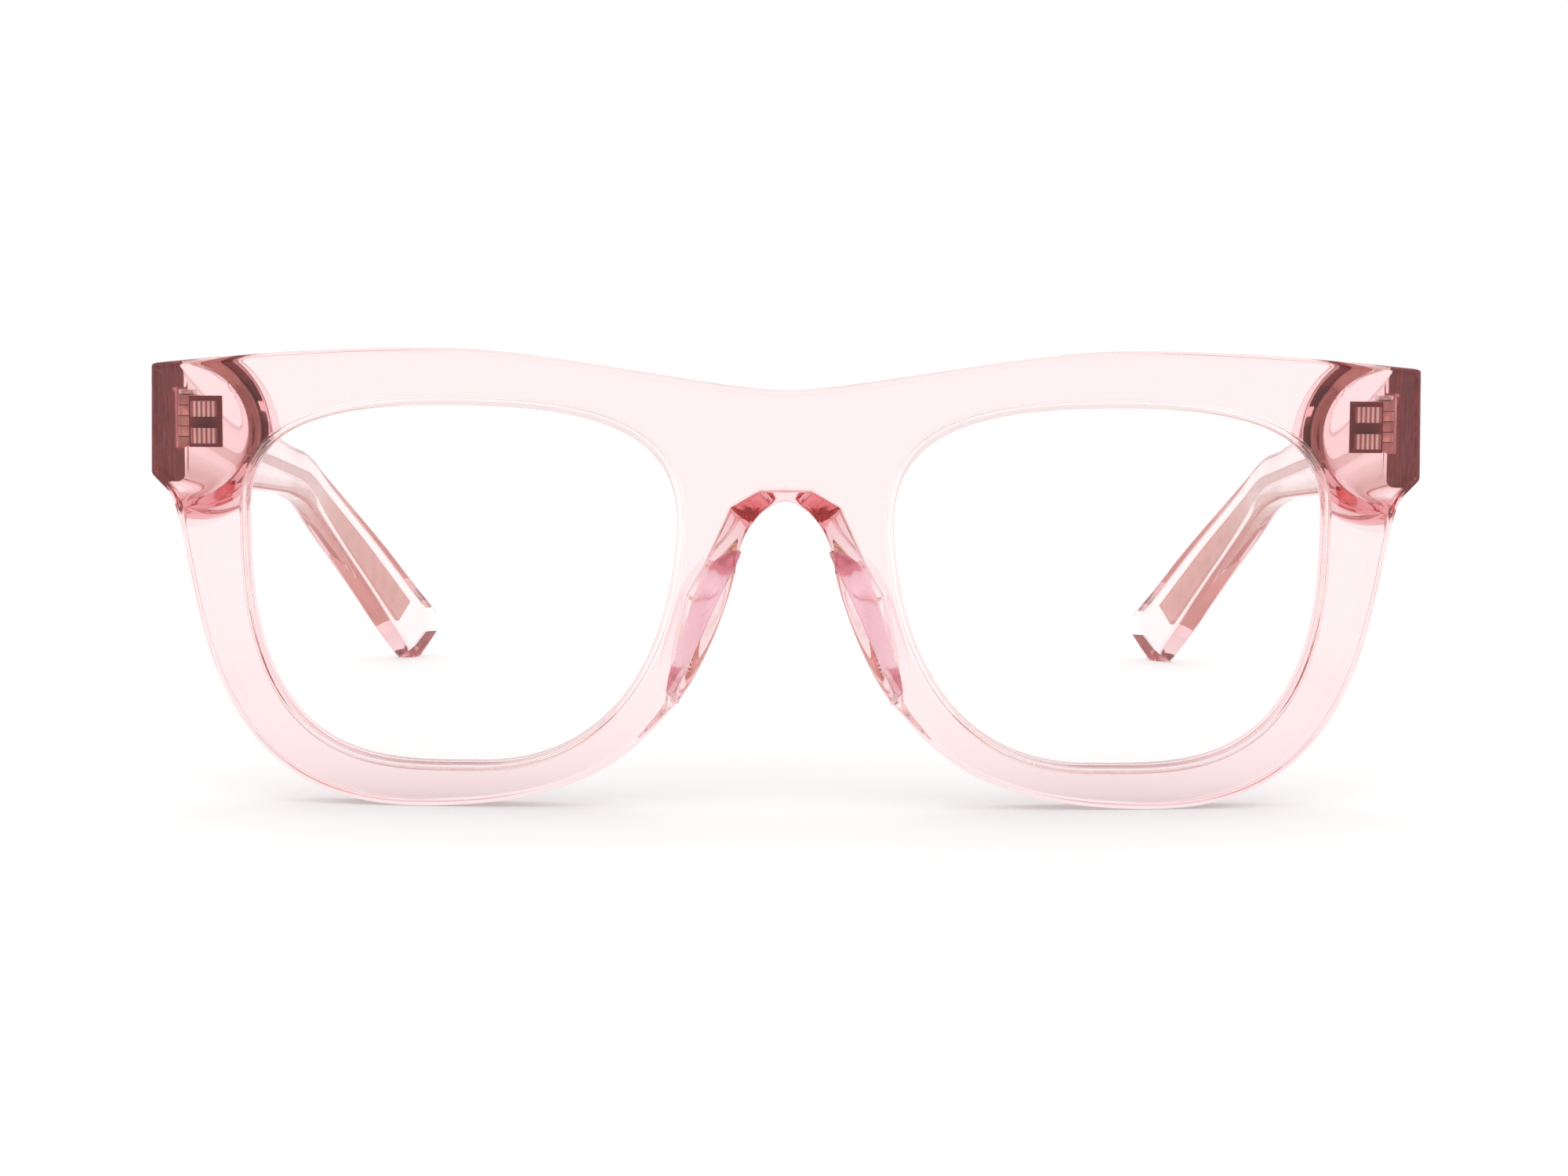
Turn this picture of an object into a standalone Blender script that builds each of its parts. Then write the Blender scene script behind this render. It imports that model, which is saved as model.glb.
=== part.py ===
"""Blue light glasses: an acetate front with clear lenses and two folding temples.

The front faces -Y, the temples run back along +Y, and +Z is up. The glasses stand open, as on a table:
the lower rims and the tips of the temples touch the plane z = 0. Left is -X and right is +X.
The pieces are laid out from the front face of the bridge and then moved together, so that the origin
ends up under the middle of the open glasses.
"""

import math
from collections import namedtuple

import bmesh
import bpy
from mathutils import Matrix, Vector, geometry

MM = 0.001

# Lenses and the openings that show them
LENS_WIDTH = 49.7 * MM
LENS_HEIGHT = 41.4 * MM
BRIDGE_GAP = 24.8 * MM
LENS_THICKNESS = 1.8 * MM
LENS_DOME = 1.1 * MM
LENS_EDGE = 0.8 * MM
GROOVE_DEPTH = 1.0 * MM
LENS_CLEARANCE = 0.2 * MM

# Rims, bridge and end pieces of the front
RIM_THICKNESS = 4.6 * MM
RIM_TOP = 6.5 * MM
RIM_BOTTOM = 5.1 * MM
RIM_NASAL = 6.8 * MM
RIM_SIDE = 8.8 * MM
END_WIDTH = 11.5 * MM
END_HEIGHT = 15.5 * MM
END_DROP = 2.0 * MM
END_CHAMFER = 2.7 * MM
BRIDGE_HEIGHT = 12.7 * MM
BRIDGE_DROP = 4.6 * MM
ARCH_DRAFT = 1.4 * MM
WRAP_RADIUS = 410.0 * MM
WRAP_FLAT = 8.0 * MM
WRAP_STEP = 8.0 * MM

# Hinge blocks behind the end pieces
BLOCK_BACK = 12.0 * MM
BLOCK_RADIUS = 8.2 * MM
BLOCK_FLARE = 2.2 * MM
BLOCK_INSET = 0.05 * MM

# Nose pads
PAD_DEPTH = 6.8 * MM
PAD_WIDTH = 4.4 * MM
PAD_SET_IN = 0.8 * MM
PAD_SPLAY = math.radians(20.0)
PAD_GLUE_GAP = 0.1 * MM

# Temples
TEMPLE_THICKNESS = 3.4 * MM
TEMPLE_INSET = 0.1 * MM
TEMPLE_HEIGHT = 13.5 * MM
TEMPLE_WAIST = 6.8 * MM
TEMPLE_HOOK = 8.4 * MM
TEMPLE_STRAIGHT = 82.7 * MM
TEMPLE_SLOPE = math.radians(8.74)
HOOK_SLOPE = math.radians(45.6)
HOOK_RADIUS = 53.0 * MM
TIP_LENGTH = 18.6 * MM
TIP_CORNER = 2.6 * MM
INWARD_SLOPE = 0.025
INWARD_START = 88.0 * MM
INWARD_CURVE = 8.3
TEMPLE_STEP = 6.0 * MM
BUTT_GAP = 0.2 * MM

# Core wires inside the temples
WIRE_HEIGHT = 2.4 * MM
WIRE_THICKNESS = 1.1 * MM
WIRE_START = 13.6 * MM
WIRE_END_GAP = 7.0 * MM
WIRE_CLEARANCE = 0.2 * MM

# Five-knuckle hinges
KNUCKLES = 5
KNUCKLE_RADIUS = 1.5 * MM
KNUCKLE_HEIGHT = 1.12 * MM
KNUCKLE_GAP = 0.1 * MM
BORE_RADIUS = 0.8 * MM
PIVOT_INSIDE_TEMPLE = 0.3 * MM
LEAF_THICKNESS = 1.1 * MM
FRONT_LEAF_LENGTH = 3.9 * MM
TEMPLE_LEAF_LENGTH = 8.6 * MM
FOOT_LENGTH = 3.0 * MM
FOOT_HEIGHT = 1.8 * MM
FRONT_FOOT_DEPTH = 3.2 * MM
FOOT_TEETH = 4
FOOT_BITE = 0.3 * MM
TEMPLE_FOOT_DEPTH = 0.8 * MM
POCKET_CLEARANCE = 0.15 * MM
BARREL_CLEARANCE = 0.3 * MM
SCREW_RADIUS = 0.7 * MM
SCREW_HEAD_RADIUS = 1.05 * MM
SCREW_HEAD_HEIGHT = 0.5 * MM
SCREW_SLOT_WIDTH = 0.3 * MM

# Places worked out from the sizes above
LENS_X = (BRIDGE_GAP + LENS_WIDTH) / 2
LENS_Z = RIM_BOTTOM + LENS_HEIGHT / 2
FRONT_TOP = RIM_BOTTOM + LENS_HEIGHT + RIM_TOP
FRONT_HALF = BRIDGE_GAP / 2 + LENS_WIDTH + END_WIDTH
END_TOP = FRONT_TOP - END_DROP
END_BOTTOM = END_TOP - END_HEIGHT
TEMPLE_X = FRONT_HALF - TEMPLE_INSET - TEMPLE_THICKNESS / 2
TEMPLE_INNER = TEMPLE_X - TEMPLE_THICKNESS / 2
TEMPLE_FRONT = BLOCK_BACK + BUTT_GAP
TEMPLE_Z = END_TOP - 0.5 * MM - TEMPLE_HEIGHT / 2
PIVOT_X = TEMPLE_INNER - PIVOT_INSIDE_TEMPLE
PIVOT_Y = BLOCK_BACK + BUTT_GAP + KNUCKLE_RADIUS
HINGE_HEIGHT = KNUCKLES * KNUCKLE_HEIGHT + (KNUCKLES - 1) * KNUCKLE_GAP
HINGE_BOTTOM = TEMPLE_Z + 0.35 * MM - HINGE_HEIGHT / 2
HINGE_TOP = HINGE_BOTTOM + HINGE_HEIGHT
KNUCKLE_PITCH = KNUCKLE_HEIGHT + KNUCKLE_GAP
BLOCK_Z = TEMPLE_Z - 0.7 * MM
BLOCK_X = PIVOT_X + 0.4 * MM

Anchor = namedtuple("Anchor", "x z back on", defaults=((0.0, 0.0), (0.0, 0.0)))


# ---------------------------------------------------------------------------
# Scene, materials and objects
# ---------------------------------------------------------------------------


def clear_scene():
    for obj in list(bpy.data.objects):
        bpy.data.objects.remove(obj, do_unlink=True)
    for collection in list(bpy.data.collections):
        bpy.data.collections.remove(collection)


def new_collection(name):
    collection = bpy.data.collections.new(name)
    bpy.context.scene.collection.children.link(collection)
    return collection


def new_material(name, colour, roughness, metallic=0.0, alpha=1.0):
    material = bpy.data.materials.new(name)
    material.use_nodes = True
    shader = material.node_tree.nodes["Principled BSDF"]
    shader.inputs["Base Color"].default_value = (*colour, 1.0)
    shader.inputs["Roughness"].default_value = roughness
    shader.inputs["Metallic"].default_value = metallic
    shader.inputs["Alpha"].default_value = alpha
    material.diffuse_color = (*colour, alpha)
    return material


def new_object(name, bm, collection, material=None):
    """Turns a bmesh into an object whose flat faces stay flat and whose round faces are smooth."""
    bmesh.ops.recalc_face_normals(bm, faces=bm.faces)
    mesh = bpy.data.meshes.new(name)
    bm.to_mesh(mesh)
    bm.free()
    mesh.shade_smooth()
    mesh.set_sharp_from_angle(angle=math.radians(30.0))
    obj = bpy.data.objects.new(name, mesh)
    collection.objects.link(obj)
    if material:
        mesh.materials.append(material)
    return obj


def new_cutter(name, bm, collection):
    cutter = new_object(name, bm, collection)
    cutter.hide_render = True
    cutter.display_type = "WIRE"
    return cutter


def combine(obj, other, operation):
    modifier = obj.modifiers.new(other.name, "BOOLEAN")
    modifier.operation = operation
    modifier.object = other


def mirrored(bm):
    """A copy of the bmesh on the other side of the plane x = 0."""
    copy = bm.copy()
    bmesh.ops.scale(copy, vec=(-1.0, 1.0, 1.0), verts=copy.verts)
    bmesh.ops.reverse_faces(copy, faces=copy.faces)
    return copy


def placed(bm, side):
    """The shape, modelled on the right, moved to the side that it is for."""
    return mirrored(bm) if side == "left" else bm


# ---------------------------------------------------------------------------
# Shapes
# ---------------------------------------------------------------------------


def sampled(anchors, steps):
    """Points along a chain of cubic curves; a stretch with no handles stays one straight line."""
    points = []
    for start, end in zip(anchors, anchors[1:]):
        first = Vector((start.x, start.z))
        last = Vector((end.x, end.z))
        if start.on == (0.0, 0.0) and end.back == (0.0, 0.0):
            points.append(first)
            continue
        curve = geometry.interpolate_bezier(
            first, first + Vector(start.on), last + Vector(end.back), last, steps + 1
        )
        points += curve[:-1]
    points.append(Vector((anchors[-1].x, anchors[-1].z)))
    return points


def grown(points, distance):
    """A closed outline moved outwards by a distance, along the normal at each point."""
    area = sum(a.x * b.y - b.x * a.y for a, b in zip(points, points[1:] + points[:1]))
    moved = []
    for before, point, after in zip(points[-1:] + points[:-1], points, points[1:] + points[:1]):
        along = (after - before).normalized()
        normal = Vector((along.y, -along.x)) * math.copysign(1.0, area)
        moved.append(point + normal * distance)
    return moved


def plate(outlines, thickness):
    """A flat plate from closed outlines in X and Z, centred on y = 0. Inner outlines are openings."""
    curve = bpy.data.curves.new("outline", "CURVE")
    curve.dimensions = "2D"
    curve.fill_mode = "BOTH"
    curve.extrude = thickness / 2
    for outline in outlines:
        spline = curve.splines.new("POLY")
        spline.points.add(len(outline) - 1)
        for point, place in zip(spline.points, outline):
            point.co = (place.x, place.y, 0.0, 1.0)
        spline.use_cyclic_u = True
    guide = bpy.data.objects.new("outline", curve)
    bpy.context.scene.collection.objects.link(guide)
    graph = bpy.context.evaluated_depsgraph_get()
    mesh = bpy.data.meshes.new_from_object(guide.evaluated_get(graph))
    bm = bmesh.new()
    bm.from_mesh(mesh)
    bmesh.ops.remove_doubles(bm, verts=bm.verts, dist=0.001 * MM)
    bmesh.ops.rotate(bm, matrix=Matrix.Rotation(math.radians(90.0), 3, "X"), verts=bm.verts)
    bpy.data.meshes.remove(mesh)
    bpy.data.objects.remove(guide)
    bpy.data.curves.remove(curve)
    return bm


def box(low, high):
    """A box between two corners."""
    bm = bmesh.new()
    bmesh.ops.create_cube(bm, size=1.0)
    low, high = Vector(low), Vector(high)
    bmesh.ops.scale(bm, vec=high - low, verts=bm.verts)
    bmesh.ops.translate(bm, vec=(low + high) / 2, verts=bm.verts)
    return bm


def cylinder(x, y, bottom, top, radius, segments=32):
    """An upright cylinder."""
    bm = bmesh.new()
    bmesh.ops.create_cone(
        bm, cap_ends=True, segments=segments, radius1=radius, radius2=radius, depth=top - bottom
    )
    bmesh.ops.translate(bm, vec=(x, y, (bottom + top) / 2), verts=bm.verts)
    return bm


def slice_across(bm, axis, step, start=0.0):
    """Cuts edges into the mesh at every step from the start, so that it can bend."""
    places = [vert.co[axis] - start for vert in bm.verts]
    normal = Vector([float(i == axis) for i in range(3)])
    first = math.ceil(min(places) / step)
    last = math.floor(max(places) / step)
    for index in range(first, last + 1):
        everything = bm.verts[:] + bm.edges[:] + bm.faces[:]
        place = normal * (start + index * step)
        bmesh.ops.bisect_plane(bm, geom=everything, plane_co=place, plane_no=normal)


def serrate(bm, along, across, teeth, bite):
    """Cuts saw teeth into two opposite sides of a box, which hold it in the acetate."""
    start = min(vert.co[along] for vert in bm.verts)
    step = (max(vert.co[along] for vert in bm.verts) - start) / (2 * teeth)
    middle = sum(vert.co[across] for vert in bm.verts) / len(bm.verts)
    slice_across(bm, along, step, start)
    for vert in bm.verts:
        if round((vert.co[along] - start) / step) % 2:
            vert.co[across] -= math.copysign(bite, vert.co[across] - middle)


def wrap_depth(x):
    """How far back the face form of the front lies at a distance from the middle."""
    reach = max(0.0, abs(x) - WRAP_FLAT)
    return WRAP_RADIUS - math.sqrt(WRAP_RADIUS**2 - reach**2)


def wrap(bm):
    for vert in bm.verts:
        vert.co.y += wrap_depth(vert.co.x)


# ---------------------------------------------------------------------------
# Front and lenses
# ---------------------------------------------------------------------------


def lens_outline():
    """The right lens opening: four anchors at its top, outer side, bottom and nose side."""
    half_x, half_z = LENS_WIDTH / 2, LENS_HEIGHT / 2
    top = Anchor(LENS_X + 0.06 * half_x, LENS_Z + half_z, (-0.555 * half_x, 0.0), (1.04 * half_x, 0.0))
    side = Anchor(LENS_X + half_x, LENS_Z + 0.266 * half_z, (0.0, 0.258 * half_z), (0.0, -1.366 * half_z))
    bottom = Anchor(LENS_X - 0.067 * half_x, LENS_Z - half_z, (0.4 * half_x, 0.0), (-0.908 * half_x, 0.0))
    nose = Anchor(LENS_X - half_x, LENS_Z + 0.372 * half_z, (0.0, -0.12 * half_z), (0.0, 0.56 * half_z))
    return sampled([top, side, bottom, nose, top], 12)[:-1]


def arch_anchors():
    """The nose arch, from the bottom of the right rim up to the middle of the bridge."""
    half_x, half_z = LENS_WIDTH / 2, LENS_HEIGHT / 2
    rim = Anchor(LENS_X - 0.8 * half_x - 4.3 * MM, LENS_Z - 0.52 * half_z - 3.5 * MM)
    flank = Anchor(BRIDGE_GAP / 2 - RIM_NASAL, LENS_Z + 0.123 * half_z)
    top = Anchor(0.0, FRONT_TOP - BRIDGE_DROP - BRIDGE_HEIGHT)
    return [
        rim._replace(back=(4.1 * MM, -4.5 * MM), on=(-4.2 * MM, 4.7 * MM)),
        flank._replace(back=(0.3 * MM, -2.5 * MM), on=(-0.8 * MM, 6.0 * MM)),
        top._replace(back=(0.9 * MM, 0.0)),
    ]


def front_outline():
    """The outer outline of the front, its right half followed by the same half mirrored."""
    half_x, half_z = LENS_WIDTH / 2, LENS_HEIGHT / 2
    right = [
        Anchor(0.0, FRONT_TOP - BRIDGE_DROP, on=(9.0 * MM, 0.0)),
        Anchor(LENS_X + 0.12 * half_x, FRONT_TOP, (-13.5 * MM, 0.0), (0.45 * half_x, 0.0)),
        Anchor(FRONT_HALF - 0.2 * MM, END_TOP, (-0.45 * half_x, 1.2 * MM)),
        Anchor(FRONT_HALF, END_BOTTOM + END_CHAMFER),
        Anchor(LENS_X + half_x + RIM_SIDE, END_BOTTOM, on=(-0.12 * half_x, -0.6 * half_z)),
        Anchor(LENS_X + 0.23 * half_x, 0.0, (half_x, 0.0), (-0.83 * half_x, 0.0)),
        *arch_anchors(),
    ]
    points = sampled(right, 10)
    left = [Vector((-point.x, point.y)) for point in reversed(points[1:-1])]
    return points + left


def arch_cutter(collection):
    """Widens the nose arch towards the back of the front."""
    arch = sampled(arch_anchors(), 6)
    sections = []
    bm = bmesh.new()
    for y, widening in ((1.2 * MM, -0.05 * MM), (RIM_THICKNESS + 1.0 * MM, ARCH_DRAFT)):
        half = [Vector((point.x + widening * point.y / arch[-1].y, point.y)) for point in arch[:-1]]
        peak = Vector((0.0, arch[-1].y + widening))
        floor = Vector((half[0].x, -2.0 * MM))
        right = [floor, *half]
        outline = right + [peak] + [Vector((-point.x, point.y)) for point in reversed(right)]
        ring = [bm.verts.new((point.x, y, point.y)) for point in outline]
        sections.append([bm.edges.new((a, b)) for a, b in zip(ring, ring[1:] + ring[:1])])
    bmesh.ops.bridge_loops(bm, edges=sections[0] + sections[1])
    bmesh.ops.holes_fill(bm, edges=[edge for edge in bm.edges if edge.is_boundary])
    return new_cutter("nose_arch_cutter", bm, collection)


def groove_cutter(collection, side):
    """The slot round a lens opening that holds the edge of the lens."""
    outline = grown(lens_outline(), GROOVE_DEPTH)
    bm = plate([outline], LENS_THICKNESS + 2 * LENS_CLEARANCE)
    bmesh.ops.translate(bm, vec=(0.0, RIM_THICKNESS / 2, 0.0), verts=bm.verts)
    slice_across(bm, 0, WRAP_STEP)
    wrap(bm)
    return new_cutter(f"lens_groove_cutter_{side}", placed(bm, side), collection)


def block_body(collection, side):
    """A round hinge block on the back of the end piece, cut off where the front ends."""
    start = wrap_depth(FRONT_HALF) + 0.3 * RIM_THICKNESS
    depth = BLOCK_BACK - start
    bm = bmesh.new()
    bmesh.ops.create_cone(
        bm,
        cap_ends=True,
        segments=48,
        radius1=BLOCK_RADIUS + BLOCK_FLARE,
        radius2=BLOCK_RADIUS,
        depth=depth,
    )
    bmesh.ops.rotate(bm, matrix=Matrix.Rotation(math.radians(-90.0), 3, "X"), verts=bm.verts)
    bmesh.ops.translate(bm, vec=(BLOCK_X, start + depth / 2, BLOCK_Z), verts=bm.verts)
    inset = FRONT_HALF - BLOCK_INSET
    sides = (
        (Vector((inset, 0.0, 0.0)), Vector((1.0, 0.0, 0.0))),
        (Vector((0.0, 0.0, END_TOP - 0.3 * MM)), Vector((0.0, 0.0, 1.0))),
        (Vector((inset, 0.0, END_BOTTOM + END_CHAMFER)), Vector((1.0, 0.0, -1.0)).normalized()),
    )
    for place, normal in sides:
        bmesh.ops.bisect_plane(
            bm,
            geom=bm.verts[:] + bm.edges[:] + bm.faces[:],
            plane_co=place,
            plane_no=normal,
            clear_outer=True,
        )
        bmesh.ops.holes_fill(bm, edges=[edge for edge in bm.edges if edge.is_boundary])
    return new_cutter(f"hinge_block_{side}", placed(bm, side), collection)


def make_front(parts, cutters, acetate):
    opening = lens_outline()
    other = [Vector((-point.x, point.y)) for point in opening]
    bm = plate([front_outline(), opening, other], RIM_THICKNESS)
    bmesh.ops.translate(bm, vec=(0.0, RIM_THICKNESS / 2, 0.0), verts=bm.verts)
    slice_across(bm, 0, WRAP_STEP)
    wrap(bm)
    front = new_object("front_frame", bm, parts, acetate)
    for side in ("left", "right"):
        combine(front, block_body(cutters, side), "UNION")
    combine(front, arch_cutter(cutters), "DIFFERENCE")
    for side in ("left", "right"):
        combine(front, groove_cutter(cutters, side), "DIFFERENCE")
    return front


def make_lens(side, parts, clear):
    """A domed lens whose edge sits in the groove of the rim."""
    outline = grown(lens_outline(), LENS_EDGE)
    middle = Vector((LENS_X, LENS_Z))
    shares = (1.0, 0.86, 0.66, 0.44, 0.22)
    bm = bmesh.new()
    rings = []
    for share in shares:
        dome = LENS_DOME * (1.0 - share**2)
        ring = []
        for point in outline:
            place = middle + (point - middle) * share
            depth = wrap_depth(place.x) + (RIM_THICKNESS - LENS_THICKNESS) / 2 - dome
            ring.append(bm.verts.new((place.x, depth, place.y)))
        rings.append([bm.edges.new((a, b)) for a, b in zip(ring, ring[1:] + ring[:1])])
    for outer, inner in zip(rings, rings[1:]):
        bmesh.ops.bridge_loops(bm, edges=outer + inner)
    bmesh.ops.holes_fill(bm, edges=rings[-1])
    made = bmesh.ops.extrude_face_region(bm, geom=bm.faces[:])
    back = [item for item in made["geom"] if isinstance(item, bmesh.types.BMVert)]
    bmesh.ops.translate(bm, vec=(0.0, LENS_THICKNESS, 0.0), verts=back)
    return new_object(f"lens_{side}", placed(bm, side), parts, clear)


def make_nose_pad(side, parts, acetate):
    """A pad glued behind the rim beside the arch: a splayed, rounded lobe with a ground face."""
    arch = sampled(arch_anchors(), 10)
    inner = [point + Vector((PAD_SET_IN, 0.0)) for point in arch[1:12]]
    upper = Anchor(inner[-1].x, inner[-1].y, on=(1.0 * MM, 2.4 * MM))
    belly = Anchor(arch[7].x + PAD_WIDTH, arch[7].y, (-1.1 * MM, 4.2 * MM), (1.0 * MM, -3.9 * MM))
    lower = Anchor(inner[0].x + 0.9 * MM, inner[0].y - 0.7 * MM, back=(0.6 * MM, 2.0 * MM))
    footprint = inner + sampled([upper, belly, lower], 8)[1:]
    middle = sum(footprint, Vector((0.0, 0.0))) / len(footprint)
    seat = wrap_depth(max(point.x for point in footprint)) + RIM_THICKNESS + PAD_GLUE_GAP
    bm = bmesh.new()
    rings = []
    for share in (0.0, 0.3, 0.55, 0.75, 0.9, 1.0):
        width = math.sqrt(1.0 - 0.8 * share**2.5)
        reach = PAD_DEPTH * share
        ring = []
        for point in footprint:
            place = middle + (point - middle) * width
            across = place.x + reach * math.tan(PAD_SPLAY)
            ring.append(bm.verts.new((across, seat + reach, place.y)))
        rings.append([bm.edges.new((a, b)) for a, b in zip(ring, ring[1:] + ring[:1])])
    for lower, upper_ring in zip(rings, rings[1:]):
        bmesh.ops.bridge_loops(bm, edges=lower + upper_ring)
    bmesh.ops.holes_fill(bm, edges=[edge for edge in bm.edges if edge.is_boundary])
    return new_object(f"nose_pad_{side}", placed(bm, side), parts, acetate)


# ---------------------------------------------------------------------------
# Temples and their core wires
# ---------------------------------------------------------------------------


def temple_length():
    bend = HOOK_RADIUS * (HOOK_SLOPE - TEMPLE_SLOPE)
    return TEMPLE_STRAIGHT + bend + TIP_LENGTH


def temple_middle(distance):
    """The middle line of a temple at a distance from its front end: (y, z) and its slope."""
    y, z = TEMPLE_FRONT, TEMPLE_Z
    straight = min(distance, TEMPLE_STRAIGHT)
    y += straight * math.cos(TEMPLE_SLOPE)
    z -= straight * math.sin(TEMPLE_SLOPE)
    slope = TEMPLE_SLOPE
    if distance > TEMPLE_STRAIGHT:
        turned = min((distance - TEMPLE_STRAIGHT) / HOOK_RADIUS, HOOK_SLOPE - TEMPLE_SLOPE)
        slope += turned
        y += HOOK_RADIUS * (math.sin(slope) - math.sin(TEMPLE_SLOPE))
        z -= HOOK_RADIUS * (math.cos(TEMPLE_SLOPE) - math.cos(slope))
        rest = distance - TEMPLE_STRAIGHT - HOOK_RADIUS * turned
        y += rest * math.cos(slope)
        z -= rest * math.sin(slope)
    return Vector((y, z)), slope


def temple_half_height(distance):
    waist = 0.82 * TEMPLE_STRAIGHT
    if distance < waist:
        share = distance / waist
        return (TEMPLE_HEIGHT + (TEMPLE_WAIST - TEMPLE_HEIGHT) * share) / 2
    share = min((distance - waist) / (temple_length() - TIP_LENGTH - waist), 1.0)
    return (TEMPLE_WAIST + (TEMPLE_HOOK - TEMPLE_WAIST) * share) / 2


def beside_middle(distance, offset):
    """A point at right angles to the middle line of a temple, above it where the offset is positive."""
    middle, slope = temple_middle(distance)
    return middle + Vector((math.sin(slope), math.cos(slope))) * offset


def stations(start, end, step):
    count = math.ceil((end - start) / step)
    return [start + (end - start) * index / count for index in range(count + 1)]


def temple_outline():
    """The side view of a temple in Y and Z, from its upright front end round its cut-off tip."""
    length = temple_length()
    half = TEMPLE_HOOK / 2
    run = stations(2.0 * MM, length - TIP_CORNER, TEMPLE_STEP)
    upper = [beside_middle(place, temple_half_height(place)) for place in run]
    lower = [beside_middle(place, -temple_half_height(place)) for place in run]
    tip = [beside_middle(length, half - TIP_CORNER), beside_middle(length, 0.5 * MM - half)]
    start = [Vector((TEMPLE_FRONT, TEMPLE_Z + side * TEMPLE_HEIGHT / 2)) for side in (-1.0, 1.0)]
    return start + upper + tip + lower[::-1]


def inward_shift(y):
    """How far a temple has moved towards the wearer's head at a distance behind its front end."""
    back = y - TEMPLE_FRONT
    hook = max(0.0, back - INWARD_START)
    return INWARD_SLOPE * max(0.0, back) + INWARD_CURVE * hook**2


def temple_plate(outline, thickness):
    """A plate of the outline in Y and Z, standing at the right temple's place and bent inwards."""
    bm = plate([outline], thickness)
    bmesh.ops.rotate(bm, matrix=Matrix.Rotation(math.radians(90.0), 3, "Z"), verts=bm.verts)
    slice_across(bm, 1, TEMPLE_STEP)
    for vert in bm.verts:
        vert.co.x += TEMPLE_X - inward_shift(vert.co.y)
    return bm


def wire_outline(start, margin):
    """The side view of a core wire, or with a margin that of its channel."""
    end = temple_length() - WIRE_END_GAP + margin
    half = WIRE_HEIGHT / 2 + margin
    run = stations(start, end, TEMPLE_STEP)
    upper = [beside_middle(place, half) for place in run]
    lower = [beside_middle(place, -half) for place in run]
    return upper + lower[::-1]


def drop_below_floor(bm):
    """Cuts off what would reach below the plane that the glasses stand on."""
    bmesh.ops.bisect_plane(
        bm,
        geom=bm.verts[:] + bm.edges[:] + bm.faces[:],
        plane_co=(0.0, 0.0, 0.0),
        plane_no=(0.0, 0.0, -1.0),
        clear_outer=True,
    )
    bmesh.ops.holes_fill(bm, edges=[edge for edge in bm.edges if edge.is_boundary])


def make_temple(side, parts, cutters, acetate):
    bm = temple_plate(temple_outline(), TEMPLE_THICKNESS)
    drop_below_floor(bm)
    outline = wire_outline(WIRE_START - 4.0 * MM, WIRE_CLEARANCE)
    channel = temple_plate(outline, WIRE_THICKNESS + 2 * WIRE_CLEARANCE)
    temple = new_object(f"temple_{side}", placed(bm, side), parts, acetate)
    cutter = new_cutter(f"wire_channel_cutter_{side}", placed(channel, side), cutters)
    combine(temple, cutter, "DIFFERENCE")
    return temple


def make_core_wire(side, parts, steel):
    bm = temple_plate(wire_outline(WIRE_START, 0.0), WIRE_THICKNESS)
    return new_object(f"core_wire_{side}", placed(bm, side), parts, steel)


# ---------------------------------------------------------------------------
# Hinges
# ---------------------------------------------------------------------------


def knuckle_bottom(index):
    return HINGE_BOTTOM + index * KNUCKLE_PITCH


def foot_bottoms():
    """The heights of the two anchoring feet of a leaf."""
    middle = (HINGE_BOTTOM + HINGE_TOP) / 2
    return (middle - 0.65 * MM - FOOT_HEIGHT, middle + 0.65 * MM)


def front_leaf_blocks(margin):
    """The plate and feet of the front leaf, or with a margin their pocket in the hinge block."""
    right = PIVOT_X - 0.4 * MM
    left = right - FRONT_LEAF_LENGTH
    back = BLOCK_BACK + (0.5 * MM if margin else 0.0)
    plate_front = BLOCK_BACK - LEAF_THICKNESS
    grow = Vector((margin, margin, margin))
    yield (
        Vector((left, plate_front, HINGE_BOTTOM)) - grow,
        Vector((right + margin, back, HINGE_TOP + margin)),
    )
    foot_left = (left + right - FOOT_LENGTH) / 2
    for bottom in foot_bottoms():
        yield (
            Vector((foot_left, plate_front - FRONT_FOOT_DEPTH, bottom)) - grow,
            Vector((foot_left + FOOT_LENGTH, plate_front + 0.1 * MM, bottom + FOOT_HEIGHT)) + grow,
        )


def temple_leaf_blocks(margin):
    """The plate and feet of the temple leaf, or with a margin their pocket in the temple."""
    front = PIVOT_Y + KNUCKLE_RADIUS + 0.4 * MM
    back = front + TEMPLE_LEAF_LENGTH
    inner = TEMPLE_INNER - (0.5 * MM if margin else 0.1 * MM)
    outer = TEMPLE_INNER - 0.1 * MM + LEAF_THICKNESS
    grow = Vector((margin, margin, margin))
    yield (
        Vector((inner, front - margin, HINGE_BOTTOM - margin)),
        Vector((outer + margin, back + margin, HINGE_TOP + margin)),
    )
    foot_front = (front + back - FOOT_LENGTH) / 2
    for bottom in foot_bottoms():
        yield (
            Vector((outer - 0.1 * MM, foot_front - margin, bottom - margin)),
            Vector((outer + TEMPLE_FOOT_DEPTH, foot_front + FOOT_LENGTH, bottom + FOOT_HEIGHT)) + grow,
        )


def join_all(obj, shapes, side, cutters, operation="UNION"):
    for index, bm in enumerate(shapes):
        tool = new_cutter(f"{obj.name}_{operation.lower()}_{index}", placed(bm, side), cutters)
        combine(obj, tool, operation)


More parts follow.
